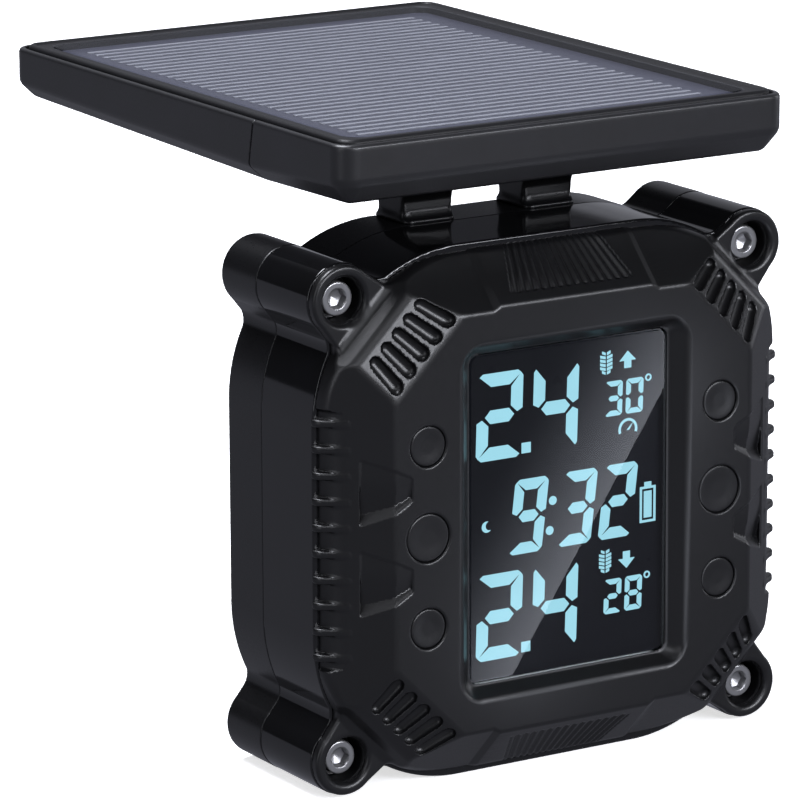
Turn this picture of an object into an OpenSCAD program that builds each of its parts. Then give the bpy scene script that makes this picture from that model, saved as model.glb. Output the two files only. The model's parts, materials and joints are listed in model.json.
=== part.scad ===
// Solar-powered tyre pressure display: a screwed two-part case behind an armour
// bezel, six round keys, a liquid crystal display and a tilting solar tray on top.
// X runs left to right seen from the face, Y from the face (-Y) to the rear
// mounting face (Y = 0), Z up. The origin is the centre of the rear mounting face.

/* [Case] */
// Width of the case across its side walls
case_w = 71.8; // [71:0.2:73]
// Height of the case from bottom wall to top wall
case_h = 71.4; // [71:0.2:72.6]
// Corner radius of the case outline
case_r = 22; // [18:0.5:23]
// Depth of the rear cover, from the mounting face to the parting plane
rear_depth = 9.1; // [8.8:0.1:10]
// Depth of the front housing, from the parting plane to the bezel
housing_depth = 12.8; // [12.8:0.1:13.4]
// Thickness of the side walls
wall = 2.2; // [2:0.1:2.4]

/* [Corner screws] */
// Half the distance between the corner screws, sideways
boss_x = 31.7; // [31.4:0.1:32.2]
// Half the distance between the corner screws, upwards
boss_z = 30.5; // [30.2:0.1:31]
// Outer radius of a corner boss
boss_r = 4.7; // [4.5:0.1:5]
// Head diameter of a corner screw
screw_head_d = 4.5; // [4.3:0.1:4.8]
// Thread diameter of a corner screw
screw_d = 2.5; // [2.3:0.1:2.6]

/* [Bezel] */
// Depth of the bezel in front of the housing
bezel_depth = 7; // [6.8:0.1:7.4]
// Half width of the flat front face
face_x = 27.7; // [27.4:0.1:28]
// Half height of the flat front face
face_z = 28.1; // [27.8:0.1:28.4]
// Sum of X and Z along the front face's cut corners
face_cut = 45.5; // [45:0.5:46]
// Number of grip slots on each corner
corner_slots = 5; // [3:1:5]
// Number of grip ridges on each side
side_ridges = 10; // [6:1:10]
// Number of ribs on the top and bottom slopes
slope_ribs = 15; // [9:1:15]

/* [Window] */
// Width of the visible window
window_w = 30.4; // [30:0.2:30.8]
// Height of the visible window
window_h = 43.6; // [43:0.2:44]
// Depth of the window below the front face
window_recess = 2; // [1.8:0.1:2.2]

/* [Keys] */
// Distance of the key centres from the middle of the face
key_x = 22.8; // [22.6:0.1:23]
// Radius of the middle keys
key_big_r = 3.1; // [2.8:0.1:3.2]
// Radius of the upper and lower keys
key_small_r = 2.55; // [2.4:0.05:2.7]
// How far a key can be pressed
key_travel = 0.5; // [0.3:0.05:0.5]

/* [Rear mount] */
// Distance between the mounting inserts, sideways
mount_x = 38; // [36:1:40]
// Distance between the mounting inserts, upwards
mount_z = 30; // [28:1:32]
// Radius of the hole in a mounting insert
mount_hole_r = 1.65; // [1.6:0.05:2]

/* [Solar tray] */
// Width of the tray
tray_w = 69; // [66:1:74]
// Length of the tray, front to back
tray_l = 88; // [84:0.1:92]
// Height of the tray's walls
tray_h = 7.5; // [7.3:0.1:7.6]
// Depth of the lip round the underside of the tray
tray_lip = 0.7; // [0.3:0.1:0.8]
// Height of the tray's top edge above the middle of the case
tray_top = 51.6; // [51.6:0.1:53]
// Y of the tray's front edge
tray_front = -27.2; // [-28.5:0.1:-26]
// Number of contact fingers on the solar cell
finger_count = 33; // [20:1:36]

/* [Tray hinge] */
// Distance of a leg's middle from the middle of the case
leg_x = 9.45; // [9:0.05:10]
// Width of a leg
leg_w = 6.9; // [6.5:0.1:7.2]
// Height of the hinge pins above the middle of the case
hinge_z = 39.9; // [39.7:0.1:39.9]
// Y of the hinge pins
hinge_y = -4.45; // [-4.6:0.05:-4.3]
// Tilt of the tray's front edge downwards, degrees
tilt_down = 20; // [5:1:20]
// Tilt of the tray's rear edge downwards, degrees
tilt_up = 45; // [10:1:45]

/* [Hidden] */
$fn = 48;
eps = 0.01;
run_gap = 0.05;
slip_gap = 0.1;

y_part = -rear_depth;
y_bezel = y_part - housing_depth;
y_face = y_bezel - bezel_depth;
y_window = y_face + window_recess;
rear_wall = 2;
rear_round = 1.2;
seal_in = 0.65;
seal_w = 1;
seal_h = 0.8;

// Depth stations of the display stack, each measured from the window's front
y_ledge = y_window + 0.2;
window_step = 0.4;
window_t = 1;
y_cell = y_window + window_t + 0.15;
lcd_t = 1.95;
y_light = y_cell + lcd_t + 0.1;
light_t = 2.1;
y_board = y_window + 8.4;
board_t = 1.6;
y_board_rear = y_board + board_t;

// Front plate of the housing, inside the bezel
plate_t = 2;
y_plate = y_bezel - 1.5;
y_plate_rear = y_plate + plate_t;

key_z = [11.5, -0.6, -12.7];
key_r = [key_small_r, key_big_r, key_small_r];
key_flange_t = 0.7;
key_lip = 0.7;
key_stem_r = 1.3;
key_gap = 0.15;
key_sink = 0.3;
y_key_stem = y_plate_rear + 0.4;

ear_t = 1.3;
ear_r = 4.6;
cup_r = 3.9;
cup_depth = 4.1;
cup_floor = 1;
head_h = 2.5;
insert_l = 5;
corner_insert_r = 1.9;
mount_insert_r = 2.75;

board_w = 58;
board_h = 56;
board_cut = 48.5;
post_x = 20.5;
post_z = 23.5;
post_r = 2.2;

port_y = y_board_rear + 1.65;
port_w = 9;
port_h = 3.2;
flap_w = 15.3;
flap_l = 5.6;
flap_t = 1.4;
flap_axis_x = 7.2;
flap_axis_z = -case_h/2 + 0.8;
flap_pin_r = 0.35;

tray_mid_y = tray_front + tray_l/2;
tray_bottom = tray_top - tray_h;
tray_wall = 1.4;
tray_floor = 1.6;
tray_bevel_in = 2.3;
tray_bevel_h = 2.7;
frame_gap = 0.4;
frame_w = 1.9;
pin_r = 1.25;
pin_skin = 0.6;
tongue_w = 2.9;
tongue_r = 2.6;
barrel_r = 4;
leg_half_depth = 3.45;
wire_r = 0.4;
wire_x = leg_x + 2.5;
wire_y = hinge_y - 2.15;

black_gloss = [0.05, 0.05, 0.06];
black_satin = [0.12, 0.12, 0.13];
steel = [0.72, 0.72, 0.74];
brass = [0.8, 0.65, 0.3];

// ---- Outlines and placing ----

function arc(c, r, a0, a1, n = 12) =
  [for (i = [0:n]) let (a = a0 + (a1 - a0)*i/n) [c.x + r*cos(a), c.y + r*sin(a)]];

function round_rect(w, h, r, n = 12) = concat(
  arc([w/2 - r, h/2 - r], r, 0, 90, n),
  arc([r - w/2, h/2 - r], r, 90, 180, n),
  arc([r - w/2, r - h/2], r, 180, 270, n),
  arc([w/2 - r, r - h/2], r, 270, 360, n));

function case_outline(inset = 0) =
  round_rect(case_w - 2*inset, case_h - 2*inset, case_r - inset);

// Rectangle of half sizes x and z whose corners are cut along |X| + |Z| = cut
function cut_rect(x, z, cut) = [
  [x, cut - x], [cut - z, z], [z - cut, z], [-x, cut - x],
  [-x, x - cut], [z - cut, -z], [cut - z, -z], [x, x - cut]];

function turn(p, a) = [p.x*cos(a) - p.y*sin(a), p.x*sin(a) + p.y*cos(a)];

// Prism of an X-Z outline between two depths
module slab(points, y0, y1) {
  translate([0, y1, 0])
    rotate([90, 0, 0])
      linear_extrude(y1 - y0)
        polygon(points);
}

// Prism of a Y-Z outline between two X positions
module wide_slab(points, x0, x1) {
  translate([x0, 0, 0])
    rotate([90, 0, 90])
      linear_extrude(x1 - x0)
        polygon(points);
}

module rod(r, y0, y1) {
  translate([0, y1, 0])
    rotate([90, 0, 0])
      cylinder(r = r, h = y1 - y0);
}

module block(x0, x1, y0, y1, z0, z1) {
  translate([x0, y0, z0])
    cube([x1 - x0, y1 - y0, z1 - z0]);
}

module at_corners(x, z) {
  for (sx = [-1, 1])
    for (sz = [-1, 1])
      translate([sx*x, 0, sz*z])
        children();
}

module mirror_corners() {
  for (mx = [0, 1])
    for (mz = [0, 1])
      mirror([mx, 0, 0])
        mirror([0, 0, mz])
          children();
}

module at_legs() {
  for (sx = [-1, 1])
    translate([sx*leg_x, 0, 0])
      children();
}

// ---- Case ----

// Web that joins a corner boss to the case wall, along the corner's diagonal
module neck(y0, y1) {
  foot = [boss_x - 7.1, boss_z - 6.9];
  foot_r = boss_r + 1.5;
  tip = [boss_x, boss_z];
  tip_r = boss_r - 0.03;
  reach = norm(tip - foot);
  along = (tip - foot)/reach;
  across = [-along.y, along.x];
  lean = (foot_r - tip_r)/reach;
  rise = sqrt(1 - lean*lean);
  left = along*lean + across*rise;
  right = along*lean - across*rise;
  slab([foot + foot_r*right, tip + tip_r*right, tip + tip_r*left, foot + foot_r*left], y0, y1);
}

// Corner boss of the rear cover, with a rounded rear edge
module rear_boss() {
  edge = 1.2;
  translate([boss_x, 0, boss_z])
    rotate([90, 0, 0])
      rotate_extrude()
        polygon(concat([[0, 0]], arc([boss_r - edge, edge], edge, -90, 0, 8),
          [[boss_r, rear_depth], [0, rear_depth]]));
}

// Band that follows the case outline between two depths, thinner by play on each side
module seal_band(play, y0, y1) {
  difference() {
    slab(case_outline(seal_in + play), y0, y1);
    slab(case_outline(seal_in + seal_w - play), y0 - 1, y1 + 1);
  }
}

module rear_cover() {
  post_y = -6.6;
  pilot_y = y_part + insert_l + 0.2;
  color(black_gloss)
    difference() {
      union() {
        difference() {
          union() {
            hull() {
              slab(case_outline(), y_part, -rear_round);
              slab(case_outline(rear_round*0.3), -rear_round*0.3 - eps, -rear_round*0.3);
              slab(case_outline(rear_round), -eps, 0);
            }
            mirror_corners() {
              rear_boss();
              neck(y_part, -1.2);
            }
          }
          slab(case_outline(wall), y_part - 1, -rear_wall);
        }
        at_corners(mount_x/2, mount_z/2)
          rod(mount_insert_r + 1.5, post_y, -rear_wall + eps);
      }
      seal_band(0, y_part - eps, y_part + seal_h);
      at_corners(boss_x, boss_z) {
        rod(corner_insert_r + eps, y_part - 1, pilot_y);
        rod(screw_d/2 + slip_gap, pilot_y - eps, pilot_y + 1.6);
      }
      at_corners(mount_x/2, mount_z/2)
        rod(mount_insert_r + eps, -insert_l - run_gap, 1);
      at_legs()
        translate([0, hinge_y, case_h/2 - wall - 1])
          cylinder(r = 1.1, h = wall + 2);
      translate([wire_x, wire_y, case_h/2 - wall - 1])
        cylinder(r = wire_r + slip_gap, h = wall + 2);
    }
}

module case_seal() {
  color([0.2, 0.2, 0.2])
    seal_band(run_gap, y_part + run_gap/2, y_part + seal_h - run_gap/2);
}

module front_housing() {
  lcd_w = 35.6;
  lcd_h = 49.2;
  color(black_gloss)
    difference() {
      union() {
        difference() {
          union() {
            slab(case_outline(), y_bezel, y_part);
            slab(cut_rect(30, 30, 50), y_plate, y_bezel + eps);
            mirror_corners() {
              translate([boss_x, 0, boss_z])
                rod(boss_r + 0.1, y_bezel, y_part);
              neck(y_bezel, y_part);
            }
          }
          slab(case_outline(wall), y_plate_rear, y_part + 1);
        }
        at_corners(post_x, post_z)
          rod(post_r, y_plate_rear - eps, y_board);
      }
      slab(round_rect(lcd_w, lcd_h, 1), y_plate - 1, y_plate_rear + 1);
      for (sx = [-1, 1])
        for (z = key_z)
          translate([sx*key_x, 0, z])
            rod(key_stem_r + 0.2, y_plate - 1, y_plate_rear + 1);
      at_corners(boss_x, boss_z) {
        rod(cup_r + slip_gap, y_bezel - 1, y_bezel + cup_depth);
        rod(screw_d/2 + 0.2, y_bezel, y_part + 1);
      }
      at_corners(post_x, post_z)
        rod(1.02, y_plate + 0.4, y_board + 1);
      usb_opening();
    }
}

// Recess for the port's flap, the port's opening and the flap's pin holes
module usb_opening() {
  floor_z = -case_h/2;
  block(flap_axis_x - flap_w + 0.5, flap_axis_x + 1.2, port_y - flap_l/2 - slip_gap,
    port_y + flap_l/2 + slip_gap, floor_z - 1, floor_z + 1.6);
  block(-port_w/2 - 0.4, port_w/2 + 0.4, port_y - port_h/2 - 0.3,
    port_y + port_h/2 + 0.3, floor_z - 1, floor_z + wall + 1);
  translate([flap_axis_x, 0, flap_axis_z])
    rod(flap_pin_r + eps, port_y - flap_l/2 - 1.1, port_y + flap_l/2 + 1.1);
}

// ---- Bezel ----

// Bezel body: a stack of cut rectangles from the flat face to the rear rim
module bezel_body() {
  hull() {
    slab(cut_rect(face_x, face_z, face_cut), y_face, y_face + eps);
    slab(cut_rect(face_x + 3.8, face_z + 2.7, face_cut + 8.2), y_face + 2.6, y_face + 2.6 + eps);
    slab(cut_rect(face_x + 6.1, face_z + 4.3, face_cut + 10.3), y_face + 4.2, y_face + 4.2 + eps);
    slab(cut_rect(face_x + 8.4, face_z + 6.9, face_cut + 12), y_face + 6.6, y_bezel);
  }
}

// Raised ridges across the rounded side edges
module side_ridge_row() {
  pitch = 3.45;
  top_z = 15;
  ridge_t = 1.1;
  for (mx = [0, 1])
    mirror([mx, 0, 0])
      for (i = [0:side_ridges - 1])
        translate([0, 0, top_z - pitch*i - ridge_t/2])
          linear_extrude(ridge_t)
            polygon([[face_x + 4.6, y_face + 3.2], [face_x + 8.2, y_face + 5.4],
              [face_x + 8.8, y_face + 6.4], [face_x + 8.8, y_bezel], [face_x + 4.6, y_bezel]]);
}

// Slots cut square across a corner's sloped field
module corner_slot_cuts() {
  pitch = 2.35;
  length = 5.2;
  width = 1.15;
  mid = (face_cut + 4.1)/2;
  mirror_corners()
    translate([mid - 0.1, y_face + 1.1, mid + 0.3])
      rotate([0, 45, 0])
        for (i = [0:corner_slots - 1])
          translate([(i - (corner_slots - 1)/2)*pitch, 0, 0])
            rotate([24, 0, 0])
              block(-width/2, width/2, -2.4, 0.7, -length/2, length/2);
}

// Grooves between the ribs of the top and bottom slopes
module slope_rib_cuts() {
  pitch = 1.45;
  for (mz = [0, 1])
    mirror([0, 0, mz])
      for (i = [0:slope_ribs - 1])
        translate([(i - (slope_ribs - 1)/2)*pitch, y_face + 3.3, face_z + 3.5])
          rotate([0, 12, 0])
            rotate([45, 0, 0])
              block(-0.35, 0.35, -0.45, 1, -2.6, 2.6);
}

// Two notches between the keys on each side of the face
module side_notch_cuts() {
  drop = 12.1;
  for (mx = [0, 1])
    mirror([mx, 0, 0])
      for (i = [0, 1])
        slab([[face_x - 2.3, 7.6 - drop*i], [face_x + 0.2, 8.9 - drop*i],
          [face_x + 5, 9.6 - drop*i], [face_x + 5, 2.8 - drop*i],
          [face_x + 0.2, 3.2 - drop*i], [face_x - 2.3, 4.6 - drop*i]], y_face - 1, y_face + 0.9);
}

module bezel_ear() {
  translate([boss_x, 0, boss_z]) {
    rod(ear_r, y_bezel - ear_t, y_bezel);
    rod(cup_r, y_bezel - ear_t/2, y_bezel + cup_depth);
  }
  slab([[boss_x - 1, boss_z + ear_r - 0.2], [22.4, 32], [24, 22], [33.6, 23.6],
    [boss_x + ear_r - 0.2, boss_z - 1]], y_bezel - ear_t, y_bezel);
}

module front_bezel() {
  color(black_satin)
    difference() {
      union() {
        difference() {
          bezel_body();
          slab(cut_rect(face_x - 0.7, face_z - 1.9, face_cut - 2.5), y_ledge, y_bezel - 1.7);
          slab(cut_rect(31.2, 31, 52), y_bezel - 1.7 - eps, y_bezel + 1);
          corner_slot_cuts();
          slope_rib_cuts();
          side_notch_cuts();
        }
        side_ridge_row();
        mirror_corners()
          difference() {
            bezel_ear();
            slab(cut_rect(31.2, 31, 52), y_bezel - 1.7, y_bezel + 1);
          }
      }
      hull() {
        slab(round_rect(window_w + 4.8, window_h + 3.4, 1.5), y_face - 1, y_face);
        slab(round_rect(window_w + 0.4, window_h + 0.4, 1), y_window, y_ledge + 1);
      }
      for (sx = [-1, 1])
        for (i = [0:2])
          translate([sx*key_x, 0, key_z[i]])
            rod(key_r[i] + key_gap, y_face - 1, y_ledge + 1);
      at_corners(boss_x, boss_z) {
        rod(3, y_bezel - ear_t - 1, y_bezel + cup_depth - cup_floor);
        rod(screw_d/2 + 0.2, y_bezel, y_bezel + cup_depth + 1);
      }
    }
}

// ---- Display stack ----

module display_window() {
  color([0.1, 0.1, 0.12, 0.5])
    union() {
      slab(round_rect(window_w - 0.2, window_h - 0.2, 1), y_window, y_window + window_step + eps);
      slab(round_rect(window_w + 4.2, window_h + 3.2, 1.5), y_window + window_step, y_window + window_t);
    }
}

module window_gasket() {
  color([0.15, 0.15, 0.15])
    difference() {
      slab(round_rect(window_w + 4.2, window_h + 3.2, 1.5), y_ledge + 0.02, y_window + window_step - 0.02);
      slab(round_rect(window_w + 0.8, window_h + 0.8, 1), y_ledge - 1, y_ledge + 1);
    }
}

module lcd_panel() {
  color([0.11, 0.11, 0.13])
    slab(round_rect(31.6, 44.4, 0.4, 3), y_cell, y_cell + lcd_t);
}

// Seven bars of a digit: a top, b and c right, d bottom, e and f left, g middle.
// The digit is w wide and h high, its bars are t wide, with a gap between bars.
function bar_outline(bar, w, h, t, gap) =
  let (m = h/2, k = gap*0.7, cut = t*0.28, tip = t*0.55 + k, shoulder = t + k)
  bar == "a" ? [
    [k + cut, h], [w - k - cut, h], [w - k, h - cut*0.8],
    [w - shoulder, h - t], [shoulder, h - t], [k, h - cut*0.8]]
  : bar == "b" ? [
    [w, h - k - cut], [w - cut*0.6, h - k - cut*0.2], [w - t, h - shoulder],
    [w - t, m + t/2 + k], [w - t*0.45, m + k], [w, m + k + cut*0.8]]
  : bar == "d" ? [for (p = bar_outline("a", w, h, t, gap)) [p.x, h - p.y]]
  : bar == "c" ? [for (p = bar_outline("b", w, h, t, gap)) [p.x, h - p.y]]
  : bar == "f" ? [for (p = bar_outline("b", w, h, t, gap)) [w - p.x, p.y]]
  : bar == "e" ? [for (p = bar_outline("b", w, h, t, gap)) [w - p.x, h - p.y]]
  : [
    [tip, m], [shoulder, m + t/2], [w - shoulder, m + t/2],
    [w - tip, m], [w - shoulder, m - t/2], [shoulder, m - t/2]];

// Bars that light up for each digit from 0 to 9
lit = ["abcdef", "bc", "abged", "abgcd", "fgbc", "afgcd", "afgedc", "abc", "abcdefg", "abcdfg"];

// A lit digit whose lower left corner is at [x, z], leaning by slant
module digit(number, x, z, w, h, t, gap, slant) {
  for (bar = lit[number])
    slab([for (p = bar_outline(bar, w, h, t, gap)) [x + p.x + slant*p.y, z + p.y]],
      y_cell - 0.1, y_cell - 0.02);
}

module flat_shape(points) {
  slab(points, y_cell - 0.1, y_cell - 0.02);
}

// Tyre seen from the front, split by its tread grooves
module tyre_icon(x, z) {
  half_w = 0.95;
  for (sx = [-1, 1])
    for (i = [0:5]) {
      low = -1.5 + 0.52*i;
      side = half_w - (abs(i - 2.5) > 2 ? 0.3 : 0);
      flat_shape([[x + sx*0.12, z + low], [x + sx*side, z + low + 0.22],
        [x + sx*side, z + low + 0.6], [x + sx*0.12, z + low + 0.38]]);
    }
}

// Arrow that marks the front wheel (up) or the rear wheel (down)
module arrow_icon(x, z, dir) {
  flat_shape([[x - 1.3, z], [x, z + dir*1.3], [x + 1.3, z], [x + 0.55, z],
    [x + 0.55, z - dir*1], [x - 0.55, z - dir*1], [x - 0.55, z]]);
}

module degree_icon(x, z) {
  difference() {
    translate([x, 0, z])
      rod(0.5, y_cell - 0.1, y_cell - 0.02);
    translate([x, 0, z])
      rod(0.28, y_cell - 1, y_cell + 1);
  }
}

// Dial gauge that marks the pressure reading
module gauge_icon(x, z) {
  band = 0.35;
  outer = 1.5;
  flat_shape(concat([for (p = arc([x, z], outer, -20, 200)) p],
    [for (p = arc([x, z], outer - band, 200, -20)) p]));
  flat_shape([[x - 0.2, z - 0.1], [x + 0.2, z - 0.1], [x + 0.75, z + 0.8]]);
}

// Crescent that marks the half of the day
module half_day_icon(x, z) {
  difference() {
    translate([x, 0, z])
      rod(0.75, y_cell - 0.1, y_cell - 0.02);
    translate([x + 0.42, 0, z + 0.12])
      rod(0.6, y_cell - 1, y_cell + 1);
  }
}

module battery_icon(x, z) {
  w = 2.5;
  h = 4.9;
  line = 0.32;
  difference() {
    union() {
      flat_shape([[x, z], [x + w, z], [x + w, z + h], [x, z + h]]);
      flat_shape([[x + w*0.28, z + h - eps], [x + w*0.72, z + h - eps],
        [x + w*0.72, z + h + 0.6], [x + w*0.28, z + h + 0.6]]);
    }
    block(x + line, x + w - line, y_cell - 1, y_cell + 1, z + line, z + h - line);
  }
  flat_shape([[x + 2*line, z + 2*line], [x + w - 2*line, z + 2*line],
    [x + w - 2*line, z + h - 2*line], [x + 2*line, z + h - 2*line]]);
}

// One wheel's readings: pressure with its gauge, temperature and wheel marks
module wheel_row(z, tens, units, low_digit, dir) {
  digit(tens, -13.7, z, 7, 11.6, 1.78, 0.42, 0.03);
  digit(units, -5, z, 7, 11.6, 1.78, 0.42, 0.03);
  flat_shape([[-6.6, z + 0.3], [-5.2, z + 0.3], [-5.2, z + 1.7], [-6.6, z + 1.7]]);
  tyre_icon(6.6, z + 10.6);
  arrow_icon(10, z + 10.6, dir);
  digit(low_digit[0], 6.4, z + 3.4, 2.7, 4.7, 0.72, 0.2, 0.03);
  digit(low_digit[1], 9.7, z + 3.4, 2.7, 4.7, 0.72, 0.2, 0.03);
  degree_icon(13.3, z + 7.9);
}

module lcd_segments() {
  clock_z = -5.8;
  clock_h = 10;
  dot_r = 0.6;
  color([0.6, 0.88, 0.94])
    union() {
      wheel_row(7.4, 2, 4, [3, 0], 1);
      wheel_row(-19.5, 2, 4, [2, 8], -1);
      gauge_icon(10.1, 8.7);
      digit(9, -8.7, clock_z, 5.2, clock_h, 1.5, 0.35, 0.12);
      digit(3, -1, clock_z, 5.2, clock_h, 1.5, 0.35, 0.12);
      digit(2, 5.4, clock_z, 5.2, clock_h, 1.5, 0.35, 0.12);
      for (z = [clock_z + 2.5, clock_z + 6.5])
        flat_shape([for (a = [0:20:340]) [0.12*z - 1.8 + dot_r*cos(a), z + dot_r*sin(a)]]);
      half_day_icon(-12, -1.4);
      battery_icon(12.1, -4.4);
    }
}

module backlight() {
  color([0.9, 0.93, 0.95])
    slab(round_rect(31.2, 39.2, 0.4, 3), y_light, y_light + light_t);
}

module lcd_holder() {
  color([0.85, 0.85, 0.83])
    difference() {
      slab(round_rect(34.8, 48.4, 1, 4), y_window + 1.7, y_board - 0.1);
      slab(round_rect(32, 45, 0.6, 4), y_window, y_board + 1);
    }
}

module lcd_connectors() {
  color([0.75, 0.3, 0.25])
    for (sz = [-1, 1])
      block(-13, 13, y_cell + lcd_t + run_gap, y_board - run_gap, sz*21.15 - 0.85, sz*21.15 + 0.85);
}

// ---- Electronics ----

module main_board() {
  color([0.05, 0.3, 0.15])
    difference() {
      slab(cut_rect(board_w/2, board_h/2, board_cut), y_board, y_board_rear);
      at_corners(post_x, post_z)
        rod(1.15, y_board - 1, y_board_rear + 1);
    }
}

module key_switches() {
  half = 2.9;
  y_front = y_plate_rear + 0.1;
  color([0.1, 0.1, 0.1])
    for (sx = [-1, 1])
      for (z = key_z)
        difference() {
          block(sx*key_x - half, sx*key_x + half, y_front, y_board, z - half, z + half);
          translate([sx*key_x, 0, z])
            rod(key_stem_r + 0.2, y_front - 1, y_key_stem + key_travel + 0.7);
        }
}

module battery() {
  color([0.75, 0.77, 0.8])
    slab(round_rect(28, 40, 1.5, 6), -7.8, -2.25);
}

module battery_tape() {
  color([0.95, 0.95, 0.9])
    block(-12, 12, -2.23, -2.02, -18, 18);
}

// Battery plug on the board and its two wires
module battery_plug() {
  wire_z = 24;
  color([0.9, 0.9, 0.85])
    union() {
      block(-2.6, 2.6, y_board_rear, y_board_rear + 3, 22.4, 25.6);
      for (sx = [-1, 1])
        translate([sx*1, 0, 0]) {
          translate([0, 0, wire_z])
            rod(0.45, y_board_rear + 2.5, -5);
          translate([0, -5, wire_z])
            sphere(r = 0.45);
          translate([0, -5, 20.05])
            cylinder(r = 0.45, h = wire_z - 20.05);
        }
    }
}

module buzzer() {
  color([0.08, 0.08, 0.08])
    translate([-15, 0, 8])
      difference() {
        rod(6, y_board_rear, y_board_rear + 4.3);
        rod(1.1, y_board_rear + 3.3, y_board_rear + 6);
      }
}

// Spring antenna: a wound wire that lies along X
module antenna_coil() {
  turns = 6;
  coil_r = 1.5;
  coil_l = 12;
  color(brass)
    translate([-6, y_board_rear + 2.2, 18.6])
      rotate([0, 90, 0])
        linear_extrude(coil_l, twist = -360*turns, slices = 12*turns, $fn = 6)
          translate([coil_r, 0])
            circle(r = 0.35, $fn = 6);
}

module radio_shield() {
  color(steel)
    difference() {
      block(6, 20, y_board_rear, y_board_rear + 2.4, -2, 10);
      block(6.3, 19.7, y_board_rear - 1, y_board_rear + 2.1, -1.7, 9.7);
    }
}

module usb_socket() {
  z0 = -case_h/2 + wall + 0.05;
  color(steel)
    difference() {
      block(-port_w/2, port_w/2, y_board_rear + 0.02, y_board_rear + port_h, z0, z0 + 7.3);
      block(-port_w/2 + 0.33, port_w/2 - 0.33, y_board_rear + 0.35, y_board_rear + port_h - 0.33,
        z0 - 1, z0 + 5.8);
    }
}

// Flap over the charging port; its plug reaches into the port's mouth
module usb_cover() {
  z0 = -case_h/2 + 0.1;
  left = flap_axis_x - flap_w + 0.7;
  color([0.09, 0.09, 0.09])
    difference() {
      union() {
        block(left, flap_axis_x, port_y - flap_l/2, port_y + flap_l/2, z0, z0 + flap_t);
        translate([flap_axis_x, 0, flap_axis_z])
          rod(flap_t/2, port_y - flap_l/2, port_y + flap_l/2);
        block(-3.8, 3.8, port_y - 1, port_y + 1, z0 + flap_t - eps, z0 + flap_t + 1.4);
      }
      translate([flap_axis_x, 0, flap_axis_z])
        rod(flap_pin_r + run_gap, port_y - flap_l, port_y + flap_l);
      block(left - 1, left + 1, port_y - 1.5, port_y + 1.5, z0 - 1, z0 + 0.6);
    }
}

module usb_hinge_pin() {
  color(steel)
    translate([flap_axis_x, 0, flap_axis_z])
      rod(flap_pin_r, port_y - flap_l/2 - 1, port_y + flap_l/2 + 1);
}

// ---- Fasteners ----

module case_screws() {
  y_seat = y_bezel + cup_depth - cup_floor;
  color(steel)
    at_corners(boss_x, boss_z)
      difference() {
        union() {
          rod(screw_head_d/2, y_seat - head_h, y_seat);
          rod(screw_d/2, y_seat - eps, y_part + insert_l + 1.2);
        }
        translate([0, y_seat - head_h + 1.3, 0])
          rotate([90, 30, 0])
            cylinder(d = 2.31, h = 2, $fn = 6);
      }
}

module corner_inserts() {
  color(brass)
    at_corners(boss_x, boss_z)
      difference() {
        rod(corner_insert_r, y_part + 0.1, y_part + 0.1 + insert_l);
        rod(screw_d/2 + run_gap, y_part - 1, y_part + insert_l + 1);
      }
}

module mount_inserts() {
  color(brass)
    at_corners(mount_x/2, mount_z/2)
      difference() {
        rod(mount_insert_r, -insert_l, 0);
        rod(mount_hole_r, -insert_l - 1, 1);
      }
}

module board_screws() {
  color(steel)
    at_corners(post_x, post_z)
      difference() {
        union() {
          rod(1.9, y_board_rear, y_board_rear + 1.5);
          rod(1, y_board - 2.4, y_board_rear + eps);
        }
        rod(0.6, y_board_rear + 0.7, y_board_rear + 3);
      }
}

module leg_screws() {
  head_z = case_h/2 - wall;
  color(steel)
    at_legs()
      translate([0, hinge_y, 0]) {
        translate([0, 0, head_z - 1.4])
          cylinder(r = 1.9, h = 1.4);
        translate([0, 0, head_z - eps])
          cylinder(r = 1, h = 3.4);
      }
}

// ---- Keys ----

module key(side, i) {
  color(black_satin)
    translate([side*key_x, 0, key_z[i]])
      union() {
        rod(key_r[i], y_face + key_sink, y_ledge + 0.1);
        rod(key_r[i] + key_lip, y_ledge + 0.05, y_ledge + 0.05 + key_flange_t);
        rod(key_stem_r, y_ledge + 0.1, y_key_stem);
      }
}

// ---- Tray hinge ----

// Space a tongue sweeps through in a leg, from the lowest to the highest tilt
module tongue_sweep() {
  half = tongue_w/2 + slip_gap;
  side = tongue_r - 0.1;
  reach = 9;
  at_legs() {
    translate([-half, hinge_y, hinge_z])
      rotate([0, 90, 0])
        cylinder(r = tongue_r + 0.2, h = 2*half);
    translate([0, hinge_y, hinge_z])
      wide_slab([turn([-side, 0], tilt_down), turn([-side, reach], tilt_down),
        turn([side, reach], -tilt_up), turn([side, 0], -tilt_up)], -half, half);
  }
}

module hinge_legs() {
  half = leg_w/2;
  foot_z = case_h/2;
  foot_t = 1.1;
  color(black_satin)
    difference() {
      at_legs()
        union() {
          block(-half, half, hinge_y - leg_half_depth, hinge_y + leg_half_depth, foot_z, hinge_z);
          block(-half - 0.4, half + 0.4, hinge_y - 4.2, hinge_y + 4.2, foot_z, foot_z + foot_t);
          translate([-half, hinge_y, hinge_z])
            rotate([0, 90, 0])
              cylinder(r = barrel_r, h = leg_w);
        }
      tongue_sweep();
      at_legs() {
        translate([pin_skin - half, hinge_y, hinge_z])
          rotate([0, 90, 0])
            cylinder(r = pin_r + eps, h = leg_w + 2);
        translate([0, hinge_y, foot_z - 1])
          cylinder(r = 1.02, h = 2.4);
      }
      translate([wire_x, wire_y, foot_z - 1])
        cylinder(r = wire_r + slip_gap, h = 12);
    }
}

module hinge_pins() {
  color(steel)
    at_legs()
      translate([pin_skin - leg_w/2, hinge_y, hinge_z])
        rotate([0, 90, 0])
          cylinder(r = pin_r, h = leg_w - pin_skin - 0.1);
}

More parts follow.
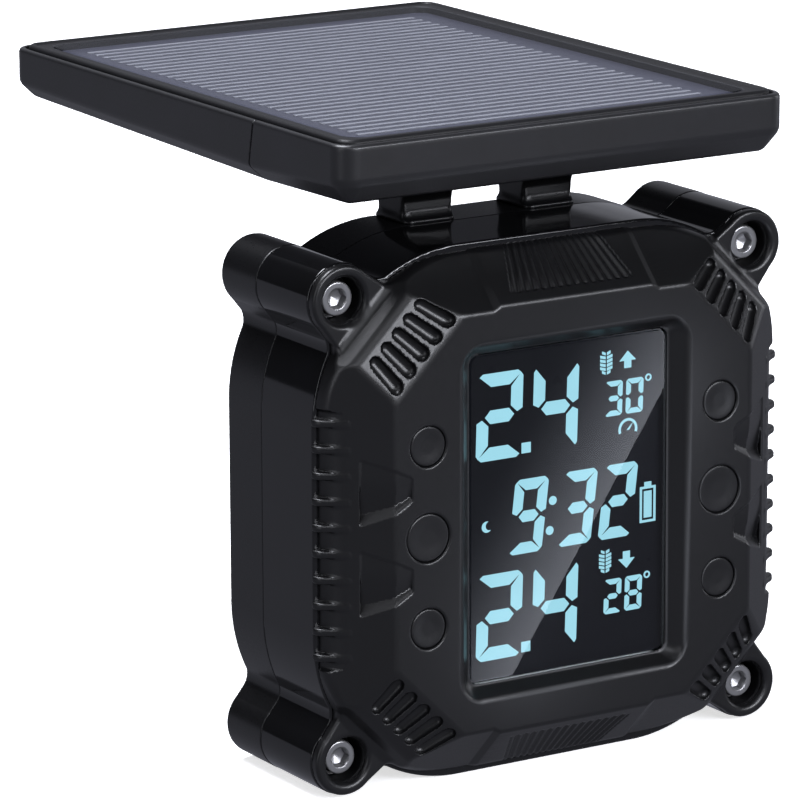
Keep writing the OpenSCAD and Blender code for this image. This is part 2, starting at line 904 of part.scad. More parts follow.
// Wire from the board, through the right leg, to just below the tray
module panel_lead() {
  bend_z = 26;
  color([0.6, 0.1, 0.1])
    union() {
      translate([wire_x, wire_y, bend_z])
        cylinder(r = wire_r, h = hinge_z + 3.3 - bend_z);
      translate([wire_x, wire_y, bend_z])
        sphere(r = wire_r);
      translate([wire_x, 0, bend_z])
        rod(wire_r, y_board_rear, wire_y);
    }
}

// ---- Solar tray ----

function tray_outline(inset, r) =
  [for (p = round_rect(tray_w - 2*inset, tray_l - 2*inset, r, 8)) [p.x, p.y + tray_mid_y]];

module tray_slab(inset, r, z0, z1) {
  translate([0, 0, z0])
    linear_extrude(z1 - z0)
      polygon(tray_outline(inset, r));
}

module tray_tongue() {
  half = tongue_w/2;
  translate([-half, hinge_y, hinge_z])
    rotate([0, 90, 0])
      cylinder(r = tongue_r, h = tongue_w);
  block(-half, half, hinge_y - tongue_r + 0.3, hinge_y + tongue_r - 0.3, hinge_z, tray_bottom + 0.5);
}

module panel_tray() {
  color(black_satin)
    difference() {
      union() {
        difference() {
          hull() {
            tray_slab(tray_bevel_in, 2.5, tray_bottom - tray_lip, tray_bottom);
            tray_slab(0, 3, tray_bottom + tray_bevel_h - tray_lip, tray_top);
          }
          tray_slab(tray_bevel_in + tray_wall, 1.5, tray_bottom - 2*tray_lip, tray_bottom);
          tray_slab(tray_wall, 2.4, tray_bottom + tray_bevel_h, tray_top + 1);
          tray_slab(tray_bevel_in + 1.6, 1.5, tray_bottom + tray_floor, tray_top + 1);
        }
        at_legs()
          tray_tongue();
      }
      at_legs()
        translate([-leg_w, hinge_y, hinge_z])
          rotate([0, 90, 0])
            cylinder(r = pin_r + run_gap, h = 2*leg_w);
      translate([wire_x, wire_y, tray_bottom - 1])
        cylinder(r = wire_r + slip_gap, h = 4);
    }
}

module panel_frame() {
  outer = tray_wall + frame_gap;
  color(black_satin)
    difference() {
      union() {
        tray_slab(outer, 2.2, tray_top - 1.6, tray_top);
        tray_slab(outer - frame_gap + 0.05, 2.3, tray_bottom + tray_bevel_h + 0.02, tray_top - 1.5);
      }
      tray_slab(outer + frame_w, 1.4, tray_bottom, tray_top + 1);
    }
}

module panel_glass() {
  color([0.3, 0.3, 0.35, 0.6])
    tray_slab(tray_wall + frame_gap + frame_w + 0.05, 1.8, tray_top - 0.85, tray_top - 0.05);
}

module solar_cell() {
  color([0.22, 0.22, 0.28])
    tray_slab(tray_wall + frame_gap + frame_w + 0.15, 1.2, tray_top - 1.5, tray_top - 1);
}

// Thin silver contact strips, side by side along the cell
module cell_fingers() {
  half = 26.6;
  front_margin = 9.2;
  rear_margin = 7.7;
  first_y = tray_front + front_margin;
  pitch = (tray_l - front_margin - rear_margin)/(finger_count - 1);
  color([0.75, 0.75, 0.78])
    for (i = [0:finger_count - 1])
      block(-half, half, first_y + pitch*i - 0.35, first_y + pitch*i + 0.35,
        tray_top - 0.99, tray_top - 0.9);
}

module tray_lead() {
  color([0.6, 0.1, 0.1])
    translate([wire_x, wire_y, tray_bottom + 0.2])
      cylinder(r = wire_r, h = tray_h - 1.9);
}

rear_cover();
front_housing();
front_bezel();
case_seal();
display_window();
window_gasket();
lcd_panel();
lcd_segments();
backlight();
lcd_holder();
lcd_connectors();
main_board();
key_switches();
battery();
battery_tape();
battery_plug();
buzzer();
antenna_coil();
radio_shield();
usb_socket();
usb_cover();
usb_hinge_pin();
case_screws();
corner_inserts();
mount_inserts();
board_screws();
key(-1, 0);  // key_left_top
key(-1, 1);  // key_left_middle
key(-1, 2);  // key_left_bottom
key(1, 0);  // key_right_top
key(1, 1);  // key_right_middle
key(1, 2);  // key_right_bottom
hinge_legs();
leg_screws();
hinge_pins();
panel_lead();
panel_tray();
panel_frame();
panel_glass();
solar_cell();
cell_fingers();
tray_lead();
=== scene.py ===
"""Looks of a solar tyre pressure display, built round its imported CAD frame.

Shapes are signed distance fields in millimetres, in the frame's own axes: X to the
right of the face, Y from the face to the rear, Z up. Each field is meshed on a grid,
pulled onto its exact surface and shaded with the field's own normals.
"""
import json
import math
from itertools import product

import bpy
import numpy as np
from mathutils import Matrix, Vector


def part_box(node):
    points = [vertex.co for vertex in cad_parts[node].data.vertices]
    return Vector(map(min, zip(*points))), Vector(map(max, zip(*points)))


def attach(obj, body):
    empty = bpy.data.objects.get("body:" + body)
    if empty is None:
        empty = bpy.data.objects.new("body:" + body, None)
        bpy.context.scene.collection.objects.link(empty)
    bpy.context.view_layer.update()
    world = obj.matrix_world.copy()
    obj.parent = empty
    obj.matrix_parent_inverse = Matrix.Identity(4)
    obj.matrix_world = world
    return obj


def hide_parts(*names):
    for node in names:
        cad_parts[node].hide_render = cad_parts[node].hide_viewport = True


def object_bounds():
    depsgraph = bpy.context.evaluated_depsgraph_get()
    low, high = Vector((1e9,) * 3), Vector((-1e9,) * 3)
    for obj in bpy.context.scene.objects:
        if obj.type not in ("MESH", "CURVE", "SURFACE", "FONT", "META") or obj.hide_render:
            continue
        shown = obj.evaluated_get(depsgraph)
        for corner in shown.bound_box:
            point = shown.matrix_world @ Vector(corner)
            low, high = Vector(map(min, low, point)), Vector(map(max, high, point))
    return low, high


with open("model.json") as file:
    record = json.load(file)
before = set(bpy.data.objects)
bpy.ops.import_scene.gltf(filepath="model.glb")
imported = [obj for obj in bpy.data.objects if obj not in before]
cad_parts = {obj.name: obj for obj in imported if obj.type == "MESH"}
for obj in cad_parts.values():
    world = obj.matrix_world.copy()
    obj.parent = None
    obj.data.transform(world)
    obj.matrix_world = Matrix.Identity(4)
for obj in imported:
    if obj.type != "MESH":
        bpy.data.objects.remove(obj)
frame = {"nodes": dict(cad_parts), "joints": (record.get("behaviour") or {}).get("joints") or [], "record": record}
cad_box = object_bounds()

MM = 0.001
ROOT2 = math.sqrt(2.0)


# ---- Places taken from the frame, in millimetres ----

def node_box(node):
    low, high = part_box(node)
    return np.array(low) / MM, np.array(high) / MM


def node_middle(node):
    low, high = node_box(node)
    return (low + high) / 2


SCREW_HEAD_R = 2.25
SCREW_BORE_R = 1.45
SCREW_X = node_box("case_screws")[1][0] - SCREW_HEAD_R
SCREW_Z = node_box("case_screws")[1][2] - SCREW_HEAD_R
SCREW_TOP_Y = node_box("case_screws")[0][1]
SCREW_END_Y = node_box("case_screws")[1][1]
FACE_Y = node_box("front_bezel")[0][1]
BEZEL_DEPTH = 7.0
RIM_Y = FACE_Y + BEZEL_DEPTH
PLATE_Y = node_box("front_housing")[0][1]
PART_Y = node_box("rear_cover")[0][1]
REAR_Y = node_box("rear_cover")[1][1]
SEAL_INSET = 0.7
CASE_X = node_box("case_seal")[1][0] + SEAL_INSET
CASE_Z = node_box("case_seal")[1][2] + SEAL_INSET
CASE_R = 22.0
WALL = 2.2
LENS_Y = node_box("display_window")[0][1]
LENS_LAP_X = 2.1
LENS_LAP_Z = 1.6
LENS_X = node_box("display_window")[1][0] - LENS_LAP_X
LENS_Z = node_box("display_window")[1][2] - LENS_LAP_Z
KEY_NODES = [side + level for side in ("key_left_", "key_right_")
             for level in ("top", "middle", "bottom")]
KEY_LIP = 0.7
KEY_X = node_middle("key_right_top")[0]
KEY_Z = [node_middle("key_right_" + level)[2] for level in ("top", "middle", "bottom")]
KEY_R = [(node_box("key_right_" + level)[1] - node_middle("key_right_" + level))[0] - KEY_LIP
         for level in ("top", "middle", "bottom")]
TRAY_LOW, TRAY_HIGH = node_box("panel_tray")
TRAY_X = TRAY_HIGH[0]
TRAY_MID_Y = (TRAY_LOW[1] + TRAY_HIGH[1]) / 2
TRAY_HALF_Y = (TRAY_HIGH[1] - TRAY_LOW[1]) / 2
TRAY_TOP = TRAY_HIGH[2]
TRAY_BODY_H = 7.5
TRAY_BOTTOM = TRAY_TOP - TRAY_BODY_H
TRAY_BEVEL_IN = 2.3
TRAY_BEVEL_H = 2.7
TRAY_WALL = 1.4
FRAME_IN = 1.8
FRAME_W = 1.9
HINGE = np.array(frame["joints"][0]["pos_m"]) / MM
LEG_X = 9.45
LEG_HALF_W = 3.45
PIN_SKIN = 0.6
PIN_BORE_R = 1.27
LEAD_R = 0.5
LEAD_ASIDE = 2.5
LEAD_AHEAD = 2.15
MOUNT_X = 19.0
MOUNT_Z = 15.0


# ---- Distance fields ----

def rmax(a, b, r):
    """Intersection of two solids, with its convex edge rounded to about r."""
    return np.minimum(-r, np.maximum(a, b)) + np.hypot(np.maximum(a + r, 0), np.maximum(b + r, 0))


def rmin(a, b, r):
    """Union of two solids, with its inner corner filled to about r."""
    return -rmax(-a, -b, r)


def cut(solid, tool, r=0.0):
    """The solid without the tool; the new edge is rounded to about r."""
    return rmax(solid, -tool, r) if r else np.maximum(solid, -tool)


def facet(u, d, u0, d0, u1, d1):
    """Distance outside the sloped plane through (u0, d0) and (u1, d1), where u grows outwards."""
    length = math.hypot(u1 - u0, d1 - d0)
    return ((u - u0) * (d1 - d0) - (d - d0) * (u1 - u0)) / length


def rect(ax, az, hx, hz, r):
    """Rounded rectangle of half sizes hx and hz, from the absolute coordinates ax and az."""
    qx, qz = ax - hx + r, az - hz + r
    return np.minimum(np.maximum(qx, qz), 0) + np.hypot(np.maximum(qx, 0), np.maximum(qz, 0)) - r


def cut_rect(ax, az, hx, hz, total):
    """Rectangle whose corners are cut where the absolute coordinates add up to total."""
    return np.maximum(np.maximum(ax - hx, az - hz), (ax + az - total) / ROOT2)


def taper(ax, az, start, end, r0, r1):
    """Bar with round ends whose radius goes from r0 at start to r1 at end."""
    run = (end[0] - start[0], end[1] - start[1])
    t = ((ax - start[0]) * run[0] + (az - start[1]) * run[1]) / (run[0] ** 2 + run[1] ** 2)
    t = np.clip(t, 0, 1)
    return np.hypot(ax - start[0] - t * run[0], az - start[1] - t * run[1]) - r0 - t * (r1 - r0)


def between(value, low, high):
    return np.maximum(low - value, value - high)


def ramp(value, low, high):
    t = np.clip((value - low) / (high - low), 0, 1)
    return t * t * (3 - 2 * t)


# ---- Bezel ----

# The flat face ends at FACE_X, FACE_Z and, along a diagonal, FACE_V. From there each facet
# runs outwards by its run and back by its drop.
FACE_X = 27.7
FACE_Z = 27.95
FACE_V = 45.5 / ROOT2
SIDE_RUN = 6.1
SIDE_DROP = 4.2
SLOPE_RUN = 7.1
FIELD_RUN = 5.8
FIELD_DROP = 2.6
SIDE_X = 35.9
RIDGE_X = 36.2
NOTCH_INNER = 25.3
NOTCH_OUTER = 31.4
SLOTS = 5
RIDGES = 10


def side_facet(ax, d, out=0.0):
    """Distance outside the facet between the face and a side edge, moved outwards by out."""
    return facet(ax, d, FACE_X + out, 0, FACE_X + SIDE_RUN + out, SIDE_DROP)


def slope_field(x, ax, az, d):
    """Top and bottom slope, with its raised middle and the fan of ribs on it."""
    tab_end, tab_side, tab_rise = 12.8, 1.1, 0.42
    tab = np.clip((tab_end - ax) / tab_side, 0, 1)
    slope = facet(az, d, FACE_Z, 0, FACE_Z + SLOPE_RUN, BEZEL_DEPTH) - tab_rise * tab
    pitch, fan, depth = 1.35, 24.0, 0.16
    u = x / (1 - d / fan)
    inside = ramp(d, 1.0, 1.6) * (1 - ramp(np.abs(u), 7.2 * pitch, 7.5 * pitch))
    groove = depth - depth * np.cos(2 * math.pi * u / pitch)
    return slope + groove * inside


def corner_slots(solid, ax, az, d):
    """Five slots that fan out across a corner's sloped field, cut with a round-nosed tool."""
    aside, pitch_at_face, closing = 0.18, 2.84, 0.085
    first, last = 1.35, 5.2
    tool_r, narrowing, flat, lift = 0.98, 0.04, 1.1, 0.3
    v = (ax + az) / ROOT2
    w = (ax - az) / ROOT2 + aside
    length = math.hypot(FIELD_RUN, FIELD_DROP)
    along = ((v - FACE_V) * FIELD_RUN + d * FIELD_DROP) / length
    height = facet(v, d, FACE_V, 0, FACE_V + FIELD_RUN, FIELD_DROP)
    pitch = pitch_at_face - closing * along
    half = (SLOTS - 1) // 2
    index = np.clip(np.round(w / pitch), -half, half)
    across = w - index * pitch
    past = along - np.clip(along, first, last)
    radius = tool_r - narrowing * (along - first)
    tool = np.sqrt(across ** 2 + past ** 2 + (height * flat + lift) ** 2) - radius
    return cut(solid, tool, 0.16)


def bent_edge(u, ax, at_inner, at_face, at_outer):
    """A pocket's edge: one line over the face and another, less steep, over the side facet."""
    over_face = facet(u, ax, at_inner, NOTCH_INNER, at_face, FACE_X)
    over_side = facet(u, ax, at_face, FACE_X, at_outer, NOTCH_OUTER)
    return np.where(ax < FACE_X, over_face, over_side)


def side_notches(solid, ax, z, d):
    """Two pockets on each side that run from the face over the side facet, deepest at their foot."""
    drop, shallow, deep, rim, steep = 12.1, 0.12, 0.9, 0.08, 0.8
    outer = rmax(-d, side_facet(ax, d), 0.3)
    for i in range(2):
        level = z + drop * i
        low = bent_edge(-level, ax, -4.55, -3.2, -1.7)
        high = bent_edge(level, ax, 7.6, 8.8, 10.2)
        pocket = rmax(rmax(low, high, 0.2), between(ax, NOTCH_INNER, NOTCH_OUTER), 0.2)
        depth = np.minimum(shallow + deep * (1 - ramp(level, 1.5, 8.5)), rim - steep * low)
        pocket = rmax(pocket, -outer - depth, 0.15)
        solid = cut(solid, pocket, 0.3)
    return solid


def side_ridges(solid, ax, z, d):
    """Thin ribs across the rounded outer edge of each side, with the edge sunk between them."""
    pitch, top, half_width, start = 3.45, 15.0, 0.5, 32.6
    sink, edge_r, clear_of_edge = 0.65, 2.4, 2.5
    middle = top - pitch * (RIDGES - 1) / 2
    beyond = np.abs(z - middle) - pitch * RIDGES / 2
    sunk = rmax(side_facet(ax, d), ax - SIDE_X + sink, edge_r)
    solid = np.maximum(solid, sunk - clear_of_edge * ramp(beyond, -0.4, 1.2))
    row = np.clip(np.round((top - z) / pitch), 0, RIDGES - 1)
    across = np.abs(z - top + row * pitch) - half_width
    skin = rmax(side_facet(ax, d, -0.05), ax - RIDGE_X, 0.8)
    ridge = rmax(rmax(skin, across, 0.35), start - ax, 0.2)
    ridge = np.maximum(ridge, d - BEZEL_DEPTH)
    return rmin(solid, ridge, 0.3)


def window_recess(solid, ax, az, d):
    """Sloped well around the window, with cut corners, and the window's own opening."""
    depth = LENS_Y - FACE_Y - 0.1
    mouth_x, mouth_z, foot_x, foot_z, corner_out, corner_slope = 2.4, 1.9, 0.6, 0.5, 2.6, 0.35
    wall_x = facet(ax, d, LENS_X + mouth_x, 0, LENS_X + foot_x, depth)
    wall_z = facet(az, d, LENS_Z + mouth_z, 0, LENS_Z + foot_z, depth)
    corner = (ax + az - (LENS_X + LENS_Z + corner_out)) / ROOT2 + corner_slope * d
    well = rmax(rmax(wall_x, wall_z, 1.2), corner, 0.8)
    well = rmax(well, d - depth, 0.15)
    solid = cut(solid, well, 0.45)
    return cut(solid, rect(ax, az, LENS_X, LENS_Z, 0.7), 0.12)


def ear(ax, az, d):
    """Flat ear round a corner screw, joined to the bezel's corner wall."""
    foot, head_r, foot_r, thickness = (24.6, 23.7), 4.65, 6.3, 1.3
    plate = taper(ax, az, (SCREW_X, SCREW_Z), foot, head_r, foot_r)
    plate = rmax(plate, BEZEL_DEPTH - thickness - d, 0.5)
    return np.maximum(plate, d - BEZEL_DEPTH)


def bezel_skin(x, ax, az, d):
    """The bezel's facets and outline, before ribs, pockets and openings."""
    v = (ax + az) / ROOT2
    side = rmax(side_facet(ax, d), ax - SIDE_X, 1.6)
    corner = rmax(facet(v, d, FACE_V, 0, FACE_V + FIELD_RUN, FIELD_DROP),
                  facet(v, d, 38.8, 3.0, 41.0, BEZEL_DEPTH), 0.5)
    outline = rect(ax, az, SIDE_X, CASE_Z - 0.65, CASE_R)
    solid = rmax(-d, side, 0.3)
    solid = rmax(solid, slope_field(x, ax, az, d), 0.25)
    solid = rmax(solid, outline, 0.8)
    solid = rmax(solid, corner, 0.22)
    return np.maximum(solid, d - BEZEL_DEPTH)


def bezel_field(x, y, z):
    cup_r, cup_back, seat_r, seat_back, key_gap = 3.9, 4.1, 3.05, 3.1, 0.13
    ax, az, d = np.abs(x), np.abs(z), y - FACE_Y
    solid = side_ridges(bezel_skin(x, ax, az, d), ax, z, d)
    solid = side_notches(solid, ax, z, d)
    solid = corner_slots(solid, ax, az, d)
    radial = np.hypot(ax - SCREW_X, az - SCREW_Z)
    solid = rmin(solid, ear(ax, az, d), 0.9)
    cup = np.maximum(radial - cup_r, between(d, BEZEL_DEPTH - 0.65, BEZEL_DEPTH + cup_back))
    solid = np.minimum(solid, cup)
    inner = np.maximum(cut_rect(ax, az, 27.0, 26.2, 43.0), 2.2 - d)
    rear = np.maximum(cut_rect(ax, az, 31.2, 31.0, 52.0), BEZEL_DEPTH - 1.7 - d)
    solid = cut(cut(solid, inner), rear)
    seat = np.maximum(radial - seat_r, d - BEZEL_DEPTH - seat_back)
    solid = cut(solid, seat, 0.8)
    solid = cut(solid, radial - SCREW_BORE_R)
    for key_z, key_r in zip(KEY_Z, KEY_R):
        solid = cut(solid, np.hypot(ax - KEY_X, z - key_z) - key_r - key_gap, 0.32)
    return window_recess(solid, ax, az, d)


# ---- Case shells ----

def case_outline(ax, az, boss_r, foot_r):
    """Rounded case outline, and the four corner bosses with their webs."""
    box = rect(ax, az, CASE_X, CASE_Z, CASE_R)
    boss = taper(ax, az, (SCREW_X, SCREW_Z), (24.6, 23.6), boss_r, foot_r)
    return box, boss


def case_room(ax, az):
    return rect(ax, az, CASE_X - WALL, CASE_Z - WALL, CASE_R - WALL)


def housing_field(x, y, z):
    post_x, post_z, post_r, post_hole_r, post_h = 20.5, 23.5, 2.2, 1.02, 4.9
    window_x, window_z, cup_r, cup_back, stem_r = 17.8, 24.6, 4.0, 4.1, 1.5
    ax, az = np.abs(x), np.abs(z)
    box, boss = case_outline(ax, az, 4.8, 6.2)
    outline = rmin(box, boss, 1.3)
    solid = rmax(rmax(outline, RIM_Y - y, 0.3), y - PART_Y, 0.16)
    plate = np.maximum(cut_rect(ax, az, 30.0, 30.0, 50.0), between(y, PLATE_Y, PLATE_Y + 2))
    solid = np.minimum(solid, plate)
    solid = cut(solid, np.maximum(case_room(ax, az), PLATE_Y + 2 - y), 0.2)
    post = np.hypot(ax - post_x, az - post_z)
    pillar = np.maximum(post - post_r, between(y, PLATE_Y + 1.5, PLATE_Y + post_h))
    solid = np.minimum(solid, pillar)
    solid = cut(solid, np.maximum(post - post_hole_r, PLATE_Y + 0.4 - y))
    solid = cut(solid, rect(ax, az, window_x, window_z, 1.0))
    radial = np.hypot(ax - SCREW_X, az - SCREW_Z)
    solid = cut(solid, np.maximum(radial - cup_r, y - RIM_Y - cup_back))
    solid = cut(solid, radial - SCREW_BORE_R)
    for key_z in KEY_Z:
        stem = np.maximum(np.hypot(ax - KEY_X, z - key_z) - stem_r, y - PLATE_Y - 3)
        solid = cut(solid, stem)
    return cut(cut(solid, port_recess(x, y, z), 0.2), port_hole(x, y, z), 0.15)


PORT = node_middle("usb_cover")
PORT_LOW, PORT_HIGH = node_box("usb_cover")


def port_recess(x, y, z):
    """Shallow pocket in the bottom wall that holds the port's flap."""
    gap, hinge_gap, end_gap = 0.2, 0.5, 0.1
    side = rmax(between(x, PORT_LOW[0] - gap, PORT_HIGH[0] + hinge_gap),
                between(y, PORT_LOW[1] - end_gap, PORT_HIGH[1] + end_gap), 0.3)
    return np.maximum(side, z + CASE_Z - 1.6)


def port_hole(x, y, z):
    side = rmax(np.abs(x) - 4.9, np.abs(y - PORT[1]) - 1.9, 1.2)
    return np.maximum(side, z + CASE_Z - WALL - 1)


def rear_field(x, y, z):
    post_r, ring_r, ring_half, seat_r = 4.25, 4.1, 0.35, 2.76
    insert_r, insert_end, hole_r, hole_end, leg_hole_r = 1.92, 5.2, 1.35, 6.8, 1.1
    ax, az = np.abs(x), np.abs(z)
    box, boss = case_outline(ax, az, 4.85, 6.1)
    solid = rmin(rmax(box, y - REAR_Y, 1.0), rmax(boss, y - REAR_Y, 0.6), 1.3)
    solid = rmax(solid, PART_Y - y, 0.16)
    solid = cut(solid, np.maximum(case_room(ax, az), y - REAR_Y + 2), 0.2)
    mount = np.hypot(ax - MOUNT_X, az - MOUNT_Z)
    solid = np.minimum(solid, np.maximum(mount - post_r, between(y, REAR_Y - 6.6, REAR_Y - 1.5)))
    ring = np.maximum(np.abs(mount - ring_r) - ring_half, REAR_Y - 0.25 - y)
    solid = cut(solid, ring, 0.12)
    solid = cut(solid, np.maximum(mount - seat_r, REAR_Y - 5.05 - y), 0.12)
    radial = np.hypot(ax - SCREW_X, az - SCREW_Z)
    solid = cut(solid, np.maximum(radial - insert_r, y - PART_Y - insert_end))
    solid = cut(solid, np.maximum(radial - hole_r, y - PART_Y - hole_end))
    leg_hole = np.maximum(np.hypot(ax - LEG_X, y - HINGE[1]) - leg_hole_r, 30 - z)
    lead_hole = np.maximum(lead_bore(x, y), 30 - z)
    groove = np.maximum(between(box, -1.65, -0.65), y - PART_Y - 0.8)
    return cut(cut(cut(solid, leg_hole), lead_hole), groove)


# ---- Tray and its legs ----

def lead_bore(x, y):
    """Vertical hole for the solar wire, ahead of the right leg's pin."""
    return np.hypot(x - LEG_X - LEAD_ASIDE, y - HINGE[1] + LEAD_AHEAD) - LEAD_R


def leg_blank(lx, dy, dz, z):
    """One leg: a column with a narrow waist, a barrel at its head and a base on the case."""
    column_half, barrel_r, waist_half, swell = 3.45, 4.0, 3.2, 0.8
    base_half_x, base_half_y, base_h = 3.85, 4.2, 0.5
    column = rmax(rmax(lx - LEG_HALF_W, np.abs(dy) - column_half, 0.9), dz, 0.1)
    barrel = rmax(np.hypot(dy, dz) - barrel_r, lx - LEG_HALF_W, 0.7)
    waist = np.abs(dy) - waist_half - swell * ramp(dz, -1.8, 0.8)
    solid = rmax(rmin(column, barrel, 1.6), waist, 0.5)
    base = rmax(rmax(lx - base_half_x, np.abs(dy) - base_half_y, 1.0), z - CASE_Z - base_h, 0.3)
    return np.maximum(rmin(solid, base, 1.3), CASE_Z - z)


def tongue_sweep(dy, dz):
    """Space that the tray's tongue sweeps between its two tilt limits."""
    down, up, half, eye_r, floor = math.radians(20), math.radians(45), 2.5, 2.8, 0.9
    front = -dy * math.cos(down) - dz * math.sin(down) - half
    rear = dy * math.cos(up) - dz * math.sin(up) - half
    sweep = np.maximum(np.maximum(front, rear), -dz - floor)
    return np.minimum(sweep, np.hypot(dy, dz) - eye_r)


def legs_field(x, y, z):
    slot_half = 1.55
    lx = np.abs(np.abs(x) - LEG_X)
    dy, dz = y - HINGE[1], z - HINGE[2]
    solid = leg_blank(lx, dy, dz, z)
    solid = cut(solid, np.maximum(lx - slot_half, tongue_sweep(dy, dz)), 0.25)
    pin = np.hypot(dy, dz) - PIN_BORE_R
    right = np.maximum(pin, LEG_X - LEG_HALF_W + PIN_SKIN - x)
    left = np.maximum(pin, PIN_SKIN - LEG_X - LEG_HALF_W - x)
    solid = cut(solid, np.where(x > 0, right, left), 0.15)
    return cut(solid, lead_bore(x, y))


def tray_outline(x, y, inset, r):
    return rect(np.abs(x), np.abs(y - TRAY_MID_Y), TRAY_X - inset, TRAY_HALF_Y - inset, r)


def tray_lip(y):
    """Height of the lip's lower edge: it drops towards the legs and comes back up ahead of them."""
    at_rear, drop, rise = 0.15, 1.25, 0.4
    knee = HINGE[1] - 0.5
    behind = np.clip((TRAY_HIGH[1] - y) / (TRAY_HIGH[1] - knee), 0, 1)
    ahead = np.clip((knee - y) / (knee - TRAY_LOW[1]), 0, 1)
    return TRAY_BOTTOM + at_rear - drop * behind + rise * ahead


def tray_seam(solid, x, y, z):
    """Hairline joint down each side wall, with a knee where it meets the bevel."""
    knee_z, knee_y, half_width, depth, start = TRAY_BOTTOM + 1.2, HINGE[1] + 0.35, 0.1, 0.2, 30.5
    seam_y = knee_y - np.where(z < knee_z, (knee_z - z) * 0.25, (z - knee_z) * 0.2)
    line = np.abs(y - seam_y) - half_width
    line = np.maximum(line, start - np.abs(x))
    return cut(solid, np.maximum(line, -solid - depth))


def tray_shell(x, y, z):
    """The tray's outer walls, bevel and lip, open below."""
    side_h, side_h_gain, crown_drop = 2.25, 0.65, 0.3
    wall = tray_outline(x, y, 0.0, 3.0)
    lip = tray_lip(y)
    height = side_h + side_h_gain * np.clip((HINGE[1] - y) / (HINGE[1] - TRAY_LOW[1]), 0, 1)
    bevel = (wall * height - (z - lip - height) * TRAY_BEVEL_IN) / np.hypot(height, TRAY_BEVEL_IN)
    solid = rmax(rmax(wall, bevel, 0.4), lip - z, 0.5)
    solid = rmax(solid, z - TRAY_TOP + crown_drop, 0.55)
    under = np.maximum(tray_outline(x, y, TRAY_BEVEL_IN + TRAY_WALL, 1.5), z - TRAY_BOTTOM)
    return tray_seam(cut(solid, under, 0.3), x, y, z)


def tray_field(x, y, z):
    floor_in, floor_h, eye_r, tongue_half_y, tongue_half_x, pin_r = 1.6, 1.6, 2.6, 2.3, 1.45, 1.3
    crown = np.maximum(tray_outline(x, y, 0.8, 2.5), TRAY_TOP - 0.9 - z)
    upper = np.maximum(tray_outline(x, y, TRAY_WALL, 1.9), TRAY_BOTTOM + TRAY_BEVEL_H - z)
    lower = np.maximum(tray_outline(x, y, TRAY_BEVEL_IN + floor_in, 1.5), TRAY_BOTTOM + floor_h - z)
    solid = cut(cut(cut(tray_shell(x, y, z), crown, 0.1), upper, 0.2), lower, 0.25)
    lx = np.abs(np.abs(x) - LEG_X)
    dy, dz = y - HINGE[1], z - HINGE[2]
    stem = np.maximum(np.abs(dy) - tongue_half_y, between(dz, 0, 5))
    tongue = rmax(np.minimum(np.hypot(dy, dz) - eye_r, stem), lx - tongue_half_x, 0.3)
    solid = rmin(solid, tongue, 0.8)
    solid = cut(solid, np.hypot(dy, dz) - pin_r)
    return cut(solid, np.maximum(lead_bore(x, y), z - TRAY_BOTTOM - 3))


def frame_field(x, y, z):
    """Rim around the panel: a rounded bead outside and a flat band inside, flush with the glass."""
    outer = tray_outline(x, y, FRAME_IN - 0.6, 2.4)
    inner = tray_outline(x, y, FRAME_IN + FRAME_W, 2.6)
    low = TRAY_BOTTOM + TRAY_BEVEL_H + 0.05
    bead_in, bead_drop, bead_r = 0.55, 0.35, 0.5
    base = rmax(np.maximum(outer, TRAY_TOP - 0.85 - z), z - TRAY_TOP + 0.14, 0.2)
    bead = np.hypot(outer + bead_in, z - TRAY_TOP + bead_drop) - bead_r
    foot = np.maximum(tray_outline(x, y, TRAY_WALL + 0.05, 2.3), between(z, low, TRAY_TOP - 0.5))
    solid = np.minimum(rmin(base, bead, 0.12), foot)
    return cut(solid, inner, 0.06)


# ---- Small parts ----

def key_field(node):
    middle, high = node_middle(node), node_box(node)[1]
    top = node_box(node)[0][1]
    radius = high[0] - middle[0] - KEY_LIP

    def field(x, y, z):
        swell, dish_depth, cap_h, flange_at, flange_end, stem_r = 0.12, 0.12, 2.1, 1.95, 2.65, 1.3
        rad = np.hypot(x - middle[0], z - middle[2])
        dish = top - 0.1 + dish_depth * (1 - ramp(rad, radius * 0.3, radius * 0.95))
        cap = rmax(rad - radius - swell, dish - y, 0.3)
        cap = np.maximum(cap, y - top - cap_h)
        flange = rmax(rad - radius - KEY_LIP, between(y, top + flange_at, top + flange_end), 0.12)
        stem = rmax(rad - stem_r, y - high[1], 0.2)
        return np.minimum(np.minimum(cap, flange), np.maximum(stem, top + 1 - y))
    return field


def screw_field(x, y, z):
    """Socket head cap screw along Y at the origin's X and Z."""
    knurls, knurl_h, head_h, shank_r, pitch, thread_h = 40, 0.05, 2.5, 1.25, 0.45, 0.14
    socket_half, socket_depth, mouth_r = 1.17, 1.25, 1.42
    rad, depth = np.hypot(x, z), y - SCREW_TOP_Y
    angle = np.arctan2(z, x)
    knurl = knurl_h * np.cos(knurls * angle) * ramp(depth, 0.5, 0.7)
    head = rmax(rad - SCREW_HEAD_R + 0.02 + knurl, between(depth, 0, head_h), 0.25)
    turn = (depth / pitch + angle / (2 * math.pi)) % 1.0
    thread = shank_r - thread_h * np.abs(turn * 2 - 1)
    shank = np.maximum(rad - thread, between(depth, 2.3, SCREW_END_Y - SCREW_TOP_Y))
    shank = rmax(shank, depth - (SCREW_END_Y - SCREW_TOP_Y), 0.3)
    sector = (angle % (math.pi / 3)) - math.pi / 6
    hexagon = rad * np.cos(sector) - socket_half
    cone = depth - socket_depth - (1.2 - rad) * 0.35
    solid = cut(np.minimum(head, shank), np.maximum(hexagon, cone), 0.07)
    mouth = (rad - mouth_r + depth) / ROOT2
    return cut(solid, np.maximum(mouth, depth - 0.4), 0.05)


